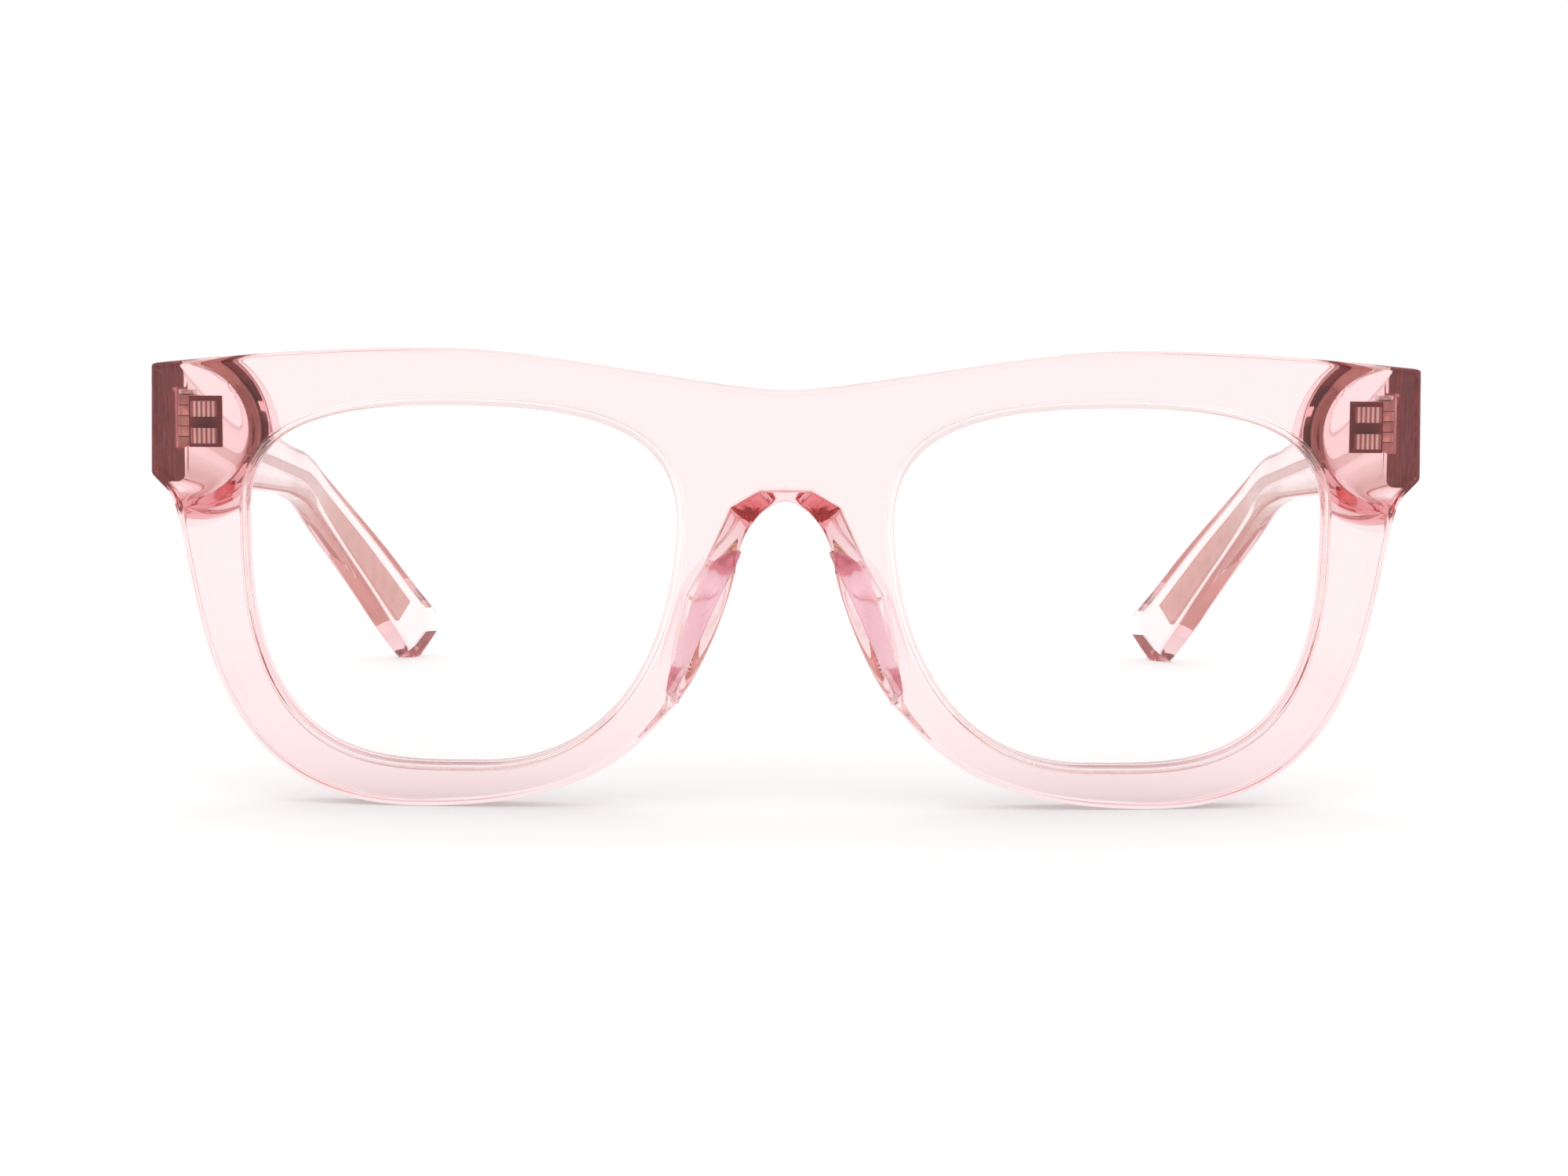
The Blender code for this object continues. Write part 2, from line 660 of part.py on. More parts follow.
def make_leaf(name, side, blocks, webs, indices, parts, cutters, steel):
    """A hinge leaf: its plate, feet, webs and barrels joined into one solid with one bore."""
    shapes = [box(low, high) for low, high in blocks]
    for foot in shapes[1:]:
        serrate(foot, 1, 0 if name == "hinge_front_leaf" else 2, FOOT_TEETH, FOOT_BITE)
    first = placed(shapes.pop(0), side)
    leaf = new_object(f"{name}_{side}", first, parts, steel)
    for index in indices:
        bottom = knuckle_bottom(index)
        top = bottom + KNUCKLE_HEIGHT
        low, high = webs
        shapes.append(box((low.x, low.y, bottom), (high.x, high.y, top)))
        shapes.append(cylinder(PIVOT_X, PIVOT_Y, bottom, top, KNUCKLE_RADIUS))
    join_all(leaf, shapes, side, cutters)
    bore = cylinder(PIVOT_X, PIVOT_Y, HINGE_BOTTOM - 1.0 * MM, HINGE_TOP + 1.0 * MM, BORE_RADIUS)
    join_all(leaf, [bore], side, cutters, "DIFFERENCE")
    return leaf


def make_front_leaf(side, parts, cutters, steel):
    web = (
        Vector((PIVOT_X - KNUCKLE_RADIUS + 0.1 * MM, BLOCK_BACK - 0.4 * MM)),
        Vector((PIVOT_X - 0.4 * MM, PIVOT_Y)),
    )
    indices = range(0, KNUCKLES, 2)
    return make_leaf("hinge_front_leaf", side, front_leaf_blocks(0.0), web, indices, parts, cutters, steel)


def make_temple_leaf(side, parts, cutters, steel):
    inner = TEMPLE_INNER - 0.1 * MM
    web = (
        Vector((inner, PIVOT_Y)),
        Vector((inner + LEAF_THICKNESS, PIVOT_Y + KNUCKLE_RADIUS + 0.6 * MM)),
    )
    indices = range(1, KNUCKLES, 2)
    return make_leaf("hinge_temple_leaf", side, temple_leaf_blocks(0.0), web, indices, parts, cutters, steel)


def cut_hinge_pockets(front, temple, side, cutters):
    """Lets the leaves into the front and the temple, and clears the barrels and the screw head."""
    pockets = [box(low, high) for low, high in front_leaf_blocks(POCKET_CLEARANCE)]
    join_all(front, pockets, side, cutters, "DIFFERENCE")
    pockets = [box(low, high) for low, high in temple_leaf_blocks(POCKET_CLEARANCE)]
    bottom = HINGE_BOTTOM - POCKET_CLEARANCE
    top = HINGE_TOP + SCREW_HEAD_HEIGHT + BARREL_CLEARANCE
    pockets.append(cylinder(PIVOT_X, PIVOT_Y, bottom, top, KNUCKLE_RADIUS + BARREL_CLEARANCE))
    web_back = PIVOT_Y + KNUCKLE_RADIUS + 0.6 * MM
    web_outer = TEMPLE_INNER - 0.1 * MM + LEAF_THICKNESS + POCKET_CLEARANCE
    web_inner = TEMPLE_INNER - 0.5 * MM
    pockets.append(
        box((web_inner, PIVOT_Y, bottom), (web_outer, web_back, HINGE_TOP + POCKET_CLEARANCE))
    )
    join_all(temple, pockets, side, cutters, "DIFFERENCE")


def make_screw(side, parts, cutters, steel):
    """The screw that the hinge turns on, with its slotted head on top."""
    shank = cylinder(PIVOT_X, PIVOT_Y, HINGE_BOTTOM, HINGE_TOP + 0.3 * MM, SCREW_RADIUS, 24)
    screw = new_object(f"hinge_screw_{side}", placed(shank, side), parts, steel)
    head_bottom = HINGE_TOP + 0.1 * MM
    head_top = head_bottom + SCREW_HEAD_HEIGHT
    head = cylinder(PIVOT_X, PIVOT_Y, head_bottom, head_top, SCREW_HEAD_RADIUS, 24)
    join_all(screw, [head], side, cutters)
    slot = box(
        (PIVOT_X - 2.0 * MM, PIVOT_Y - SCREW_SLOT_WIDTH / 2, head_top - 0.2 * MM),
        (PIVOT_X + 2.0 * MM, PIVOT_Y + SCREW_SLOT_WIDTH / 2, head_top + 0.2 * MM),
    )
    join_all(screw, [slot], side, cutters, "DIFFERENCE")
    return screw


# ---------------------------------------------------------------------------
# Assembly
# ---------------------------------------------------------------------------


def attach(child, parent):
    """Parents an object without moving it."""
    bpy.context.view_layer.update()
    child.parent = parent
    child.matrix_parent_inverse = parent.matrix_world.inverted()


def new_empty(name, location, collection):
    empty = bpy.data.objects.new(name, None)
    empty.location = location
    empty.empty_display_size = 0.005
    collection.objects.link(empty)
    return empty


def rear_of(obj):
    return max(vert.co.y for vert in obj.data.vertices)


def main():
    clear_scene()
    bpy.context.scene.unit_settings.scale_length = 1.0
    parts = new_collection("blue_light_glasses")
    cutters = new_collection("cutters")
    acetate = new_material("pink_acetate", (0.96, 0.72, 0.74), 0.08)
    pad_acetate = new_material("nose_pad_acetate", (0.94, 0.62, 0.66), 0.12)
    clear = new_material("clear_lens", (0.97, 0.98, 0.95), 0.03, alpha=0.35)
    wire_steel = new_material("core_wire_steel", (0.72, 0.66, 0.62), 0.3, 1.0)
    hinge_steel = new_material("hinge_steel", (0.62, 0.6, 0.58), 0.28, 1.0)
    screw_steel = new_material("screw_steel", (0.7, 0.69, 0.67), 0.22, 1.0)

    root = new_empty("glasses_root", (0.0, 0.0, 0.0), parts)
    front = make_front(parts, cutters, acetate)
    fixed = [front]
    for side in ("left", "right"):
        sign = -1.0 if side == "left" else 1.0
        pivot = new_empty(f"hinge_axis_{side}", (sign * PIVOT_X, PIVOT_Y, HINGE_BOTTOM), parts)
        temple = make_temple(side, parts, cutters, acetate)
        cut_hinge_pockets(front, temple, side, cutters)
        fixed.append(make_lens(side, parts, clear))
        fixed.append(make_nose_pad(side, parts, pad_acetate))
        fixed.append(make_front_leaf(side, parts, cutters, hinge_steel))
        fixed.append(make_screw(side, parts, cutters, screw_steel))
        for piece in (
            temple,
            make_core_wire(side, parts, wire_steel),
            make_temple_leaf(side, parts, cutters, hinge_steel),
        ):
            attach(piece, pivot)
        attach(pivot, root)
        rear = rear_of(temple)
    for piece in fixed:
        attach(piece, root)
    for cutter in cutters.objects:
        attach(cutter, root)
    root.location.y = -rear / 2


if __name__ == "__main__":
    main()
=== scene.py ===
"""Blue light glasses of transparent pink acetate, built round the packed frame.

Every operator makes one piece or one group of like pieces, in metres, in the frame of the packed model.
Shapes are laid out from the front face of the bridge, on the right side, and mirrored for the left.
"""

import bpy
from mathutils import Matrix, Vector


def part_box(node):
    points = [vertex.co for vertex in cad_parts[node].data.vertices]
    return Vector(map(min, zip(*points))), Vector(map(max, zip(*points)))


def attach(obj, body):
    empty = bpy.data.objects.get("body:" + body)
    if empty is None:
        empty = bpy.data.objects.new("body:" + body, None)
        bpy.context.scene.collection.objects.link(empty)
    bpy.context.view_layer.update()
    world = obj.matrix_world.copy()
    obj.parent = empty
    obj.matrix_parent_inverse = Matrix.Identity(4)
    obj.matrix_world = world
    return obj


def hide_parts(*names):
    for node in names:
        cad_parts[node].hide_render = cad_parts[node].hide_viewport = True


bl_info = {
    "name": "Acetate Glasses",
    "version": (1, 0, 0),
    "blender": (4, 5, 0),
    "location": "View3D > Sidebar > Glasses",
    "description": "Builds a pair of clear lens glasses with a milled acetate front and folding temples",
    "category": "Object",
}

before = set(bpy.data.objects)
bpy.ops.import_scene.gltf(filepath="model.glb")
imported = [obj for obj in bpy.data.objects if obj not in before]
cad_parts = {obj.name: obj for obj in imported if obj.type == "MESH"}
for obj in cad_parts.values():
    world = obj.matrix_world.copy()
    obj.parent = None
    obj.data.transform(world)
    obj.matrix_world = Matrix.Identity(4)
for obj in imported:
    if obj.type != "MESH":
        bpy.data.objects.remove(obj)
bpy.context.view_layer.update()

import math
from bisect import bisect_left
from collections import namedtuple

import bmesh
import bpy
from mathutils import Matrix, Vector, geometry

MM = 0.001
SIDES = ("left", "right")
FRONT_LOW, FRONT_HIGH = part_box("front_frame")
LENS_LOW, LENS_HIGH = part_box("lens_right")
TEMPLE_LOW, TEMPLE_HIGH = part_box("temple_right")
SCREW_LOW, SCREW_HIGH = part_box("hinge_screw_right")
LEAF_LOW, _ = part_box("hinge_front_leaf_right")
START_Y = FRONT_LOW.y
TEMPLE_FRONT = TEMPLE_LOW.y - START_Y
BLOCK_BACK = FRONT_HIGH.y - START_Y
FRONT_TOP = FRONT_HIGH.z
FRONT_HALF = FRONT_HIGH.x
LENS_X = (LENS_LOW.x + LENS_HIGH.x) / 2
LENS_Z = (LENS_LOW.z + LENS_HIGH.z) / 2
LENS_MIDDLE = Vector((LENS_X, LENS_Z))
PIVOT_X = (SCREW_LOW.x + SCREW_HIGH.x) / 2
PIVOT_Y = (SCREW_LOW.y + SCREW_HIGH.y) / 2 - START_Y
ON_PLANE = 1e-7
WELD = 0.5e-6
ROUND_STEPS = 4
CURVE_POINTS = 97
MOST_SMOOTH_SIDES = 12

Anchor = namedtuple("Anchor", "x z back on", defaults=((0.0, 0.0), (0.0, 0.0)))


# ---- Sizes and colours ----


def length(name, description, millimetres):
    return bpy.props.FloatProperty(
        name=name, description=description, default=millimetres * MM, unit="LENGTH", precision=4
    )


def angle(name, description, degrees):
    return bpy.props.FloatProperty(
        name=name, description=description, default=math.radians(degrees), subtype="ANGLE"
    )


def share(name, description, default):
    return bpy.props.FloatProperty(
        name=name, description=description, default=default, min=0.0, max=1.0, subtype="FACTOR"
    )


def amount(name, description, default):
    return bpy.props.FloatProperty(name=name, description=description, default=default, min=0.0)


def colour(name, description, default):
    return bpy.props.FloatVectorProperty(
        name=name, description=description, default=default, size=3, min=0.0, max=1.0, subtype="COLOR"
    )


class FrontSizes(bpy.types.PropertyGroup):
    """Sizes of the front."""

    lens_width: length("Lens width", "Width of a lens opening", 49.7)
    lens_height: length("Lens height", "Height of a lens opening", 41.4)
    bridge_gap: length("Bridge gap", "Distance between the two lens openings", 24.8)
    thickness: length("Thickness", "Thickness of the milled plate", 4.6)
    rim_nasal: length("Nasal rim", "Width of the rim beside the nose", 6.8)
    rim_side: length("Side rim", "Width of the rim below the end piece", 8.8)
    end_drop: length("End drop", "Drop of the end piece below the brow line", 2.0)
    end_height: length("End height", "Height of the end piece", 15.5)
    end_chamfer: length("End chamfer", "Slanted lower corner of the end piece", 2.7)
    bridge_drop: length("Bridge drop", "Drop of the bridge below the brow line", 4.6)
    bridge_height: length("Bridge height", "Height of the bridge in the middle", 12.7)
    wrap_radius: length("Face form radius", "Radius of the curve round the face", 410.0)
    wrap_flat: length("Flat middle", "Half width of the flat middle of the bridge", 8.0)
    edge_round: length("Edge rounding", "Rounding of the outer edges", 0.5)
    opening_round: length("Opening rounding", "Rounding of the lens openings", 0.4)
    groove_depth: length("Groove depth", "Depth of the lens groove", 1.0)
    groove_width: length("Groove width", "Width of the lens groove", 2.0)
    block_radius: length("Block radius", "Radius of the round hinge block", 7.9)
    cove_width: length("Cove width", "Width of the hollow round the hinge block", 3.9)


class LensSizes(bpy.types.PropertyGroup):
    """Sizes of the lenses."""

    thickness: length("Thickness", "Thickness of a lens", 1.8)
    dome: length("Dome", "Rise of a lens at its middle", 1.1)
    edge: length("Edge", "How far the edge of a lens reaches into its groove", 0.8)


class PadSizes(bpy.types.PropertyGroup):
    """Sizes of the nose pads."""

    depth: length("Depth", "How far a pad stands behind the rim", 6.8)
    width: length("Width", "Widest place of a pad", 4.4)
    set_in: length("Set in", "Distance of a pad from the nose arch", 0.5)
    splay: angle("Splay", "Angle that a pad opens towards the back", 20.0)
    grind: angle("Ground face", "Angle of the ground face that rests on the nose", 23.0)
    sink: length("Sink", "Depth of the cemented joint", 0.05)


class TempleSizes(bpy.types.PropertyGroup):
    """Sizes of the temples and of their core wires."""

    thickness: length("Thickness", "Thickness of a temple", 3.4)
    height: length("Height", "Height at the hinge", 13.5)
    waist: length("Waist", "Height at the narrowest place", 6.8)
    hook: length("Hook", "Height of the hook", 8.4)
    straight: length("Straight", "Length in front of the hook", 75.3)
    tip: length("Tip", "Straight length behind the bend", 11.3)
    tip_corner: length("Tip corner", "Cut corner of the tip", 2.6)
    slope: angle("Slope", "Fall of the straight part", 8.74)
    hook_slope: angle("Hook slope", "Fall of the hook", 45.6)
    hook_radius: length("Hook radius", "Radius of the bend behind the ear", 75.0)
    inward_slope: amount("Inward slope", "Shift towards the head along the temple", 0.025)
    inward_start: length("Inward start", "Where the temple starts to curve inwards", 88.0)
    inward_curve: amount("Inward curve", "Strength of the inward curve of the hook", 8.3)
    edge_round: length("Edge rounding", "Rounding of the long edges", 0.9)
    wire_height: length("Wire height", "Height of a core wire at the hinge", 1.4)
    wire_tip: length("Wire tip", "Height of a core wire at its end", 3.9)
    wire_thickness: length("Wire thickness", "Thickness of a core wire", 1.1)
    wire_start: length("Wire start", "Distance of a core wire from the front end", 13.6)
    wire_end: length("Wire end", "Distance of a core wire from the tip", 7.0)


class Finishes(bpy.types.PropertyGroup):
    """Colours and surfaces."""

    acetate: colour("Acetate", "Colour that thick acetate lets through", (0.85, 0.13, 0.17))
    acetate_depth: amount("Acetate depth", "How fast the acetate takes up light, per metre", 58.0)
    pad: colour("Pad acetate", "Colour that a thick nose pad lets through", (0.87, 0.25, 0.42))
    pad_depth: amount("Pad depth", "How fast the pads take up light, per metre", 75.0)
    lens: colour("Lens", "Colour that a thick lens lets through", (0.98, 0.94, 0.82))
    lens_depth: amount("Lens depth", "How fast the lenses take up light, per metre", 20.0)
    polish: share("Polish", "Roughness of the polished acetate", 0.02)
    wire: colour("Core wire", "Colour of the core wires", (0.88, 0.52, 0.47))
    hinge: colour("Hinge", "Colour of the hinge leaves", (0.86, 0.56, 0.48))
    hinge_stain: colour("Hinge stain", "Colour of the stains on the hinge leaves", (0.45, 0.12, 0.10))
    screw: colour("Screw", "Colour of the hinge screws", (0.68, 0.64, 0.60))


class StageSizes(bpy.types.PropertyGroup):
    """The floor, the light and the camera."""

    floor: colour("Floor", "Colour of the floor", (0.93, 0.925, 0.92))
    glow: amount("Floor glow", "Light that comes up through the floor", 0.2)
    floor_size: length("Floor size", "Width of the floor", 12000.0)
    light: amount("Light", "Strength of the light from all sides", 1.03)
    dusk: colour("Dusk", "Colour of the studio behind the camera", (0.45, 0.18, 0.20))
    camera_reach: length("Camera distance", "Distance from the camera to the bridge", 357.9)
    camera_height: length("Camera height", "Height of the camera above the floor", 64.9)
    camera_pitch: angle("Camera pitch", "How far the camera looks down", 6.23)
    camera_roll: angle("Camera roll", "Turn of the camera about its view", 0.3)
    focal: amount("Focal length", "Focal length of the camera in millimetres", 72.09)


# ---- Shapes shared by the pieces ----


def sizes(group):
    """One of the groups of sizes and colours, as the user has set it."""
    return getattr(bpy.context.scene, "glasses_" + group)


def resampled(points, step):
    """The same open line with its points evenly spaced, without its last point."""
    reaches = [0.0]
    for before, after in zip(points, points[1:]):
        reaches.append(reaches[-1] + (after - before).length)
    count = max(1, round(reaches[-1] / step))
    spaced = []
    for index in range(count):
        reach = reaches[-1] * index / count
        place = max(1, bisect_left(reaches, reach))
        rest = (reach - reaches[place - 1]) / (reaches[place] - reaches[place - 1])
        spaced.append(points[place - 1].lerp(points[place], rest))
    return spaced


def chain(anchors, steps):
    """Evenly spaced points along cubic curves, and the index of each anchor among them."""
    points, marks = [], []
    for start, end, step in zip(anchors, anchors[1:], steps):
        first = Vector((start.x, start.z))
        last = Vector((end.x, end.z))
        handles = (first + Vector(start.on), last + Vector(end.back))
        curve = geometry.interpolate_bezier(first, *handles, last, CURVE_POINTS)
        if not any((*start.on, *end.back)):
            curve = [first, last]
        marks.append(len(points))
        points += resampled(curve, step)
    marks.append(len(points))
    points.append(Vector((anchors[-1].x, anchors[-1].z)))
    return points, marks


def soften(points, corner, reach):
    """Rounds one corner of a line over a number of points on each side."""
    start, end = points[corner - reach].copy(), points[corner + reach].copy()
    middle = points[corner].copy()
    for step in range(2 * reach + 1):
        part = step / (2 * reach)
        place = start.lerp(middle, part).lerp(middle.lerp(end, part), part)
        points[corner - reach + step] = place


def outward(points, closed=True):
    """Unit normals of a line that runs clockwise round its shape, seen from the front."""
    normals = []
    for index in range(len(points)):
        before = points[index - 1] if closed or index else points[0]
        after = points[(index + 1) % len(points)] if closed or index < len(points) - 1 else points[-1]
        along = (after - before).normalized()
        normals.append(Vector((-along.y, along.x)))
    return normals


def first_ring(bm, places):
    """A closed ring of edges whose points know their own station along it."""
    stations = bm.verts.layers.int.new("station")
    ring = [bm.verts.new(place) for place in places]
    for index, vert in enumerate(ring):
        vert[stations] = index
    return [bm.edges.new(pair) for pair in zip(ring, ring[1:] + ring[:1])]


def next_ring(bm, ring, places):
    """Extrudes a ring of edges and moves the new one, station by station, to its places."""
    stations = bm.verts.layers.int["station"]
    made = bmesh.ops.extrude_edge_only(bm, edges=ring)["geom"]
    fresh = {item for item in made if isinstance(item, bmesh.types.BMVert)}
    for vert in fresh:
        vert.co = places[vert[stations]]
    return [e for e in made if isinstance(e, bmesh.types.BMEdge) and fresh.issuperset(e.verts)]


def whole(bm):
    return bm.verts[:] + bm.edges[:] + bm.faces[:]


def cut(bm, place, normal):
    """Cuts off what lies beyond a plane and closes the cut; returns the edges round it."""
    made = bmesh.ops.bisect_plane(
        bm, geom=whole(bm), plane_co=place, plane_no=normal, clear_outer=True, dist=ON_PLANE
    )
    rim = [item for item in made["geom_cut"] if isinstance(item, bmesh.types.BMEdge)]
    bmesh.ops.holes_fill(bm, edges=rim)
    return rim


def slice_across(bm, places):
    """Cuts edges into a bar that lies along X, so that it can bend there."""
    normal = Vector((1.0, 0.0, 0.0))
    for place in places:
        bmesh.ops.bisect_plane(bm, geom=whole(bm), plane_co=normal * place, plane_no=normal, dist=ON_PLANE)


def bevel(bm, edges, offset, segments):
    bmesh.ops.bevel(
        bm, geom=edges, offset=offset, offset_type="OFFSET", affect="EDGES", segments=segments,
        profile=0.5, material=-1, clamp_overlap=True,
    )


def bar(start, end, thickness, height):
    """A straight bar along X, which is bent later."""
    bm = bmesh.new()
    bmesh.ops.create_cube(bm, size=1.0)
    low = Vector((start, -thickness / 2, -height / 2))
    high = Vector((end, thickness / 2, height / 2))
    bmesh.ops.scale(bm, vec=high - low, verts=bm.verts)
    bmesh.ops.translate(bm, vec=(low + high) / 2, verts=bm.verts)
    return bm


def mirrored(bm):
    copy = bm.copy()
    bmesh.ops.scale(copy, vec=(-1.0, 1.0, 1.0), verts=copy.verts)
    bmesh.ops.reverse_faces(copy, faces=copy.faces)
    return copy


def flatten_broad_faces(mesh):
    """Gives each many-sided face its own flat shading, however it is split into triangles."""
    for polygon in mesh.polygons:
        if polygon.loop_total > MOST_SMOOTH_SIDES:
            polygon.use_smooth = False


def finished(name, bm, material, sharp=35.0, shift=True):
    """Turns a bmesh, laid out from the bridge, into an object in the frame of the packed model."""
    if shift:
        bmesh.ops.translate(bm, vec=(0.0, START_Y, 0.0), verts=bm.verts)
    mesh = bpy.data.meshes.new(name)
    bm.to_mesh(mesh)
    bm.free()
    mesh.shade_smooth()
    mesh.set_sharp_from_angle(angle=math.radians(sharp))
    flatten_broad_faces(mesh)
    obj = bpy.data.objects.new(name, mesh)
    bpy.context.scene.collection.objects.link(obj)
    if material:
        mesh.materials.append(material)
    return obj


def subtract(obj, bm):
    """Cuts a shape out of an object and leaves a plain mesh."""
    tool = finished(obj.name + "_cutter", bm, None, shift=False)
    modifier = obj.modifiers.new("cut", "BOOLEAN")
    modifier.operation = "DIFFERENCE"
    modifier.solver = "EXACT"
    modifier.object = tool
    graph = bpy.context.evaluated_depsgraph_get()
    mesh = bpy.data.meshes.new_from_object(obj.evaluated_get(graph))
    obj.modifiers.clear()
    flatten_broad_faces(mesh)
    leftovers = (obj.data, tool.data)
    obj.data = mesh
    bpy.data.objects.remove(tool)
    for leftover in leftovers:
        bpy.data.meshes.remove(leftover)


def settle(obj, body, slot, *nodes):
    """Makes a piece ride on its body and stand for its packed nodes."""
    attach(obj, body)
    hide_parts(*nodes)


# ---- Materials ----

VECTOR, NUMBER, COLOUR = "NodeSocketVector", "NodeSocketFloat", "NodeSocketColor"
WHITE = (1.0, 1.0, 1.0, 1.0)
ACETATE_IOR = 1.49
LENS_IOR = 1.5
UPRIGHT = (1.0, 1.0, 0.05)
LENGTHWAYS = (1.0, 0.03, 1.0)


def feed(tree, node, inputs):
    """Links each input that is given a socket, and sets each one that is given a value."""
    for name, value in inputs.items():
        if isinstance(value, bpy.types.NodeSocket):
            tree.links.new(value, node.inputs[name])
        else:
            node.inputs[name].default_value = value


def add_node(tree, kind, inputs, **settings):
    node = tree.nodes.new("ShaderNode" + kind)
    for name, value in settings.items():
        setattr(node, name, value)
    feed(tree, node, inputs)
    return node


def noise(tree, vector, scale, detail=2.0, roughness=0.5):
    inputs = {"Vector": vector, "Scale": scale, "Detail": detail, "Roughness": roughness}
    return add_node(tree, "TexNoise", inputs).outputs["Fac"]


def spread(tree, value, low, high, ends=(0.0, 1.0), **settings):
    """Maps the span from low to high onto the span between two ends."""
    inputs = {"Value": value, "From Min": low, "From Max": high, "To Min": ends[0], "To Max": ends[1]}
    return add_node(tree, "MapRange", inputs, **settings).outputs["Result"]


def reckon(tree, operation, *values):
    return add_node(tree, "Math", dict(enumerate(values)), operation=operation).outputs["Value"]


def blend(tree, part, first, second):
    """A colour that goes from the first to the second as the part goes from nought to one."""
    inputs = {"Factor": part, "A": first, "B": second}
    return add_node(tree, "Mix", inputs, data_type="RGBA").outputs["Result"]


def stretched(tree, vector, factors):
    """Scales a vector, which draws a pattern out along the axes with small factors."""
    inputs = {0: vector, 1: factors}
    return add_node(tree, "VectorMath", inputs, operation="MULTIPLY").outputs["Vector"]


def along_y(tree, vector):
    return add_node(tree, "SeparateXYZ", {"Vector": vector}).outputs["Y"]


def bumped(tree, height, strength, distance):
    inputs = {"Height": height, "Strength": strength, "Distance": distance}
    return add_node(tree, "Bump", inputs).outputs["Normal"]


def new_group(name, inputs, outputs):
    """A node group with labelled sockets, the sockets of its input node, and its output node."""
    group = bpy.data.node_groups.new(name, "ShaderNodeTree")
    for label, kind, default in inputs:
        socket = group.interface.new_socket(name=label, in_out="INPUT", socket_type=kind)
        if default is not None:
            socket.default_value = default
    for label, kind in outputs:
        group.interface.new_socket(name=label, in_out="OUTPUT", socket_type=kind)
    return group, group.nodes.new("NodeGroupInput").outputs, group.nodes.new("NodeGroupOutput")


def polish_wear_group():
    """Faint unevenness of hand polished acetate: cloudy roughness, a soft swell and fine hairlines."""
    inputs = (
        ("Vector", VECTOR, None),
        ("Roughness", NUMBER, 0.02),
        ("Haze", NUMBER, 0.03),
        ("Swell", NUMBER, 0.1),
        ("Scale", NUMBER, 120.0),
    )
    outputs = (("Roughness", NUMBER), ("Normal", VECTOR))
    group, given, out = new_group("Polish wear", inputs, outputs)
    place = given["Vector"]
    clouds = spread(group, noise(group, place, given["Scale"], 5.0, 0.55), 0.45, 0.8)
    drawn = stretched(group, place, (0.12, 1.0, 1.0))
    hairlines = spread(group, noise(group, drawn, 900.0, 3.0), 0.62, 0.72)
    wear = reckon(group, "MULTIPLY_ADD", hairlines, 0.4, clouds)
    rough = reckon(group, "MULTIPLY_ADD", wear, given["Haze"], given["Roughness"])
    normal = bumped(group, noise(group, place, 70.0, 1.0), given["Swell"], 0.2 * MM)
    feed(group, out, {"Roughness": rough, "Normal": normal})
    return group


def brushed_group():
    """Drawn or milled metal: blotches of stain, and long streaks in the roughness and the surface."""
    inputs = (
        ("Vector", VECTOR, None),
        ("Colour", COLOUR, (0.7, 0.6, 0.5, 1.0)),
        ("Stain", COLOUR, (0.4, 0.25, 0.2, 1.0)),
        ("Stretch", VECTOR, LENGTHWAYS),
        ("Roughness", NUMBER, 0.25),
        ("Streaks", NUMBER, 0.3),
    )
    outputs = (("Colour", COLOUR), ("Roughness", NUMBER), ("Normal", VECTOR))
    group, given, out = new_group("Brushed metal", inputs, outputs)
    streaks = noise(group, stretched(group, given["Vector"], given["Stretch"]), 9000.0, 4.0)
    blotches = spread(group, noise(group, given["Vector"], 500.0, 4.0), 0.42, 0.72, (0.0, 0.6))
    tint = blend(group, blotches, given["Colour"], given["Stain"])
    rough = reckon(group, "MULTIPLY_ADD", streaks, given["Streaks"], given["Roughness"])
    normal = bumped(group, streaks, 0.35, 0.03 * MM)
    feed(group, out, {"Colour": tint, "Roughness": rough, "Normal": normal})
    return group


def shaded_sawn_end_group():
    """The saw-cut front end of a temple: dull and finely streaked by the saw, and darkened with painted
    shade where it meets the front.
    """
    inputs = (
        ("Vector", VECTOR, None),
        ("Place", NUMBER, 0.0),
        # The default colour is painted shade: a dark red that stands in for the shade at the joint with the
        # front.
        ("Colour", COLOUR, (0.2, 0.02, 0.03, 1.0)),
    )
    outputs = (("Colour", COLOUR), ("Roughness", NUMBER))
    group, given, out = new_group("Sawn end with painted shade", inputs, outputs)
    ahead = reckon(group, "SUBTRACT", given["Place"], along_y(group, given["Vector"]))
    mask = spread(group, ahead, 0.0, 0.05 * MM)
    streaks = noise(group, stretched(group, given["Vector"], UPRIGHT), 5000.0, 3.0)
    grooves = spread(group, streaks, 0.5, 0.75)
    # The streaks mix two dark reds, which paint the shade of the joint onto the end face.
    saw_marks_and_painted_shade = blend(group, grooves, given["Colour"], (0.75, 0.2, 0.22, 1.0))
    tint = blend(group, mask, WHITE, saw_marks_and_painted_shade)
    feed(group, out, {"Colour": tint, "Roughness": reckon(group, "MULTIPLY", mask, 0.3)})
    return group


def effect(tree, name, build, inputs):
    """Places a node group, which is built at its first use, and gives its outputs."""
    group = bpy.data.node_groups.get(name) or build()
    return add_node(tree, "Group", inputs, node_tree=group).outputs


def blank_material(name):
    """A new material, its node tree, its shader and its Object coordinates."""
    material = bpy.data.materials.new(name)
    material.use_nodes = True
    tree = material.node_tree
    place = add_node(tree, "TexCoord", {}).outputs["Object"]
    return material, tree, tree.nodes["Principled BSDF"], place


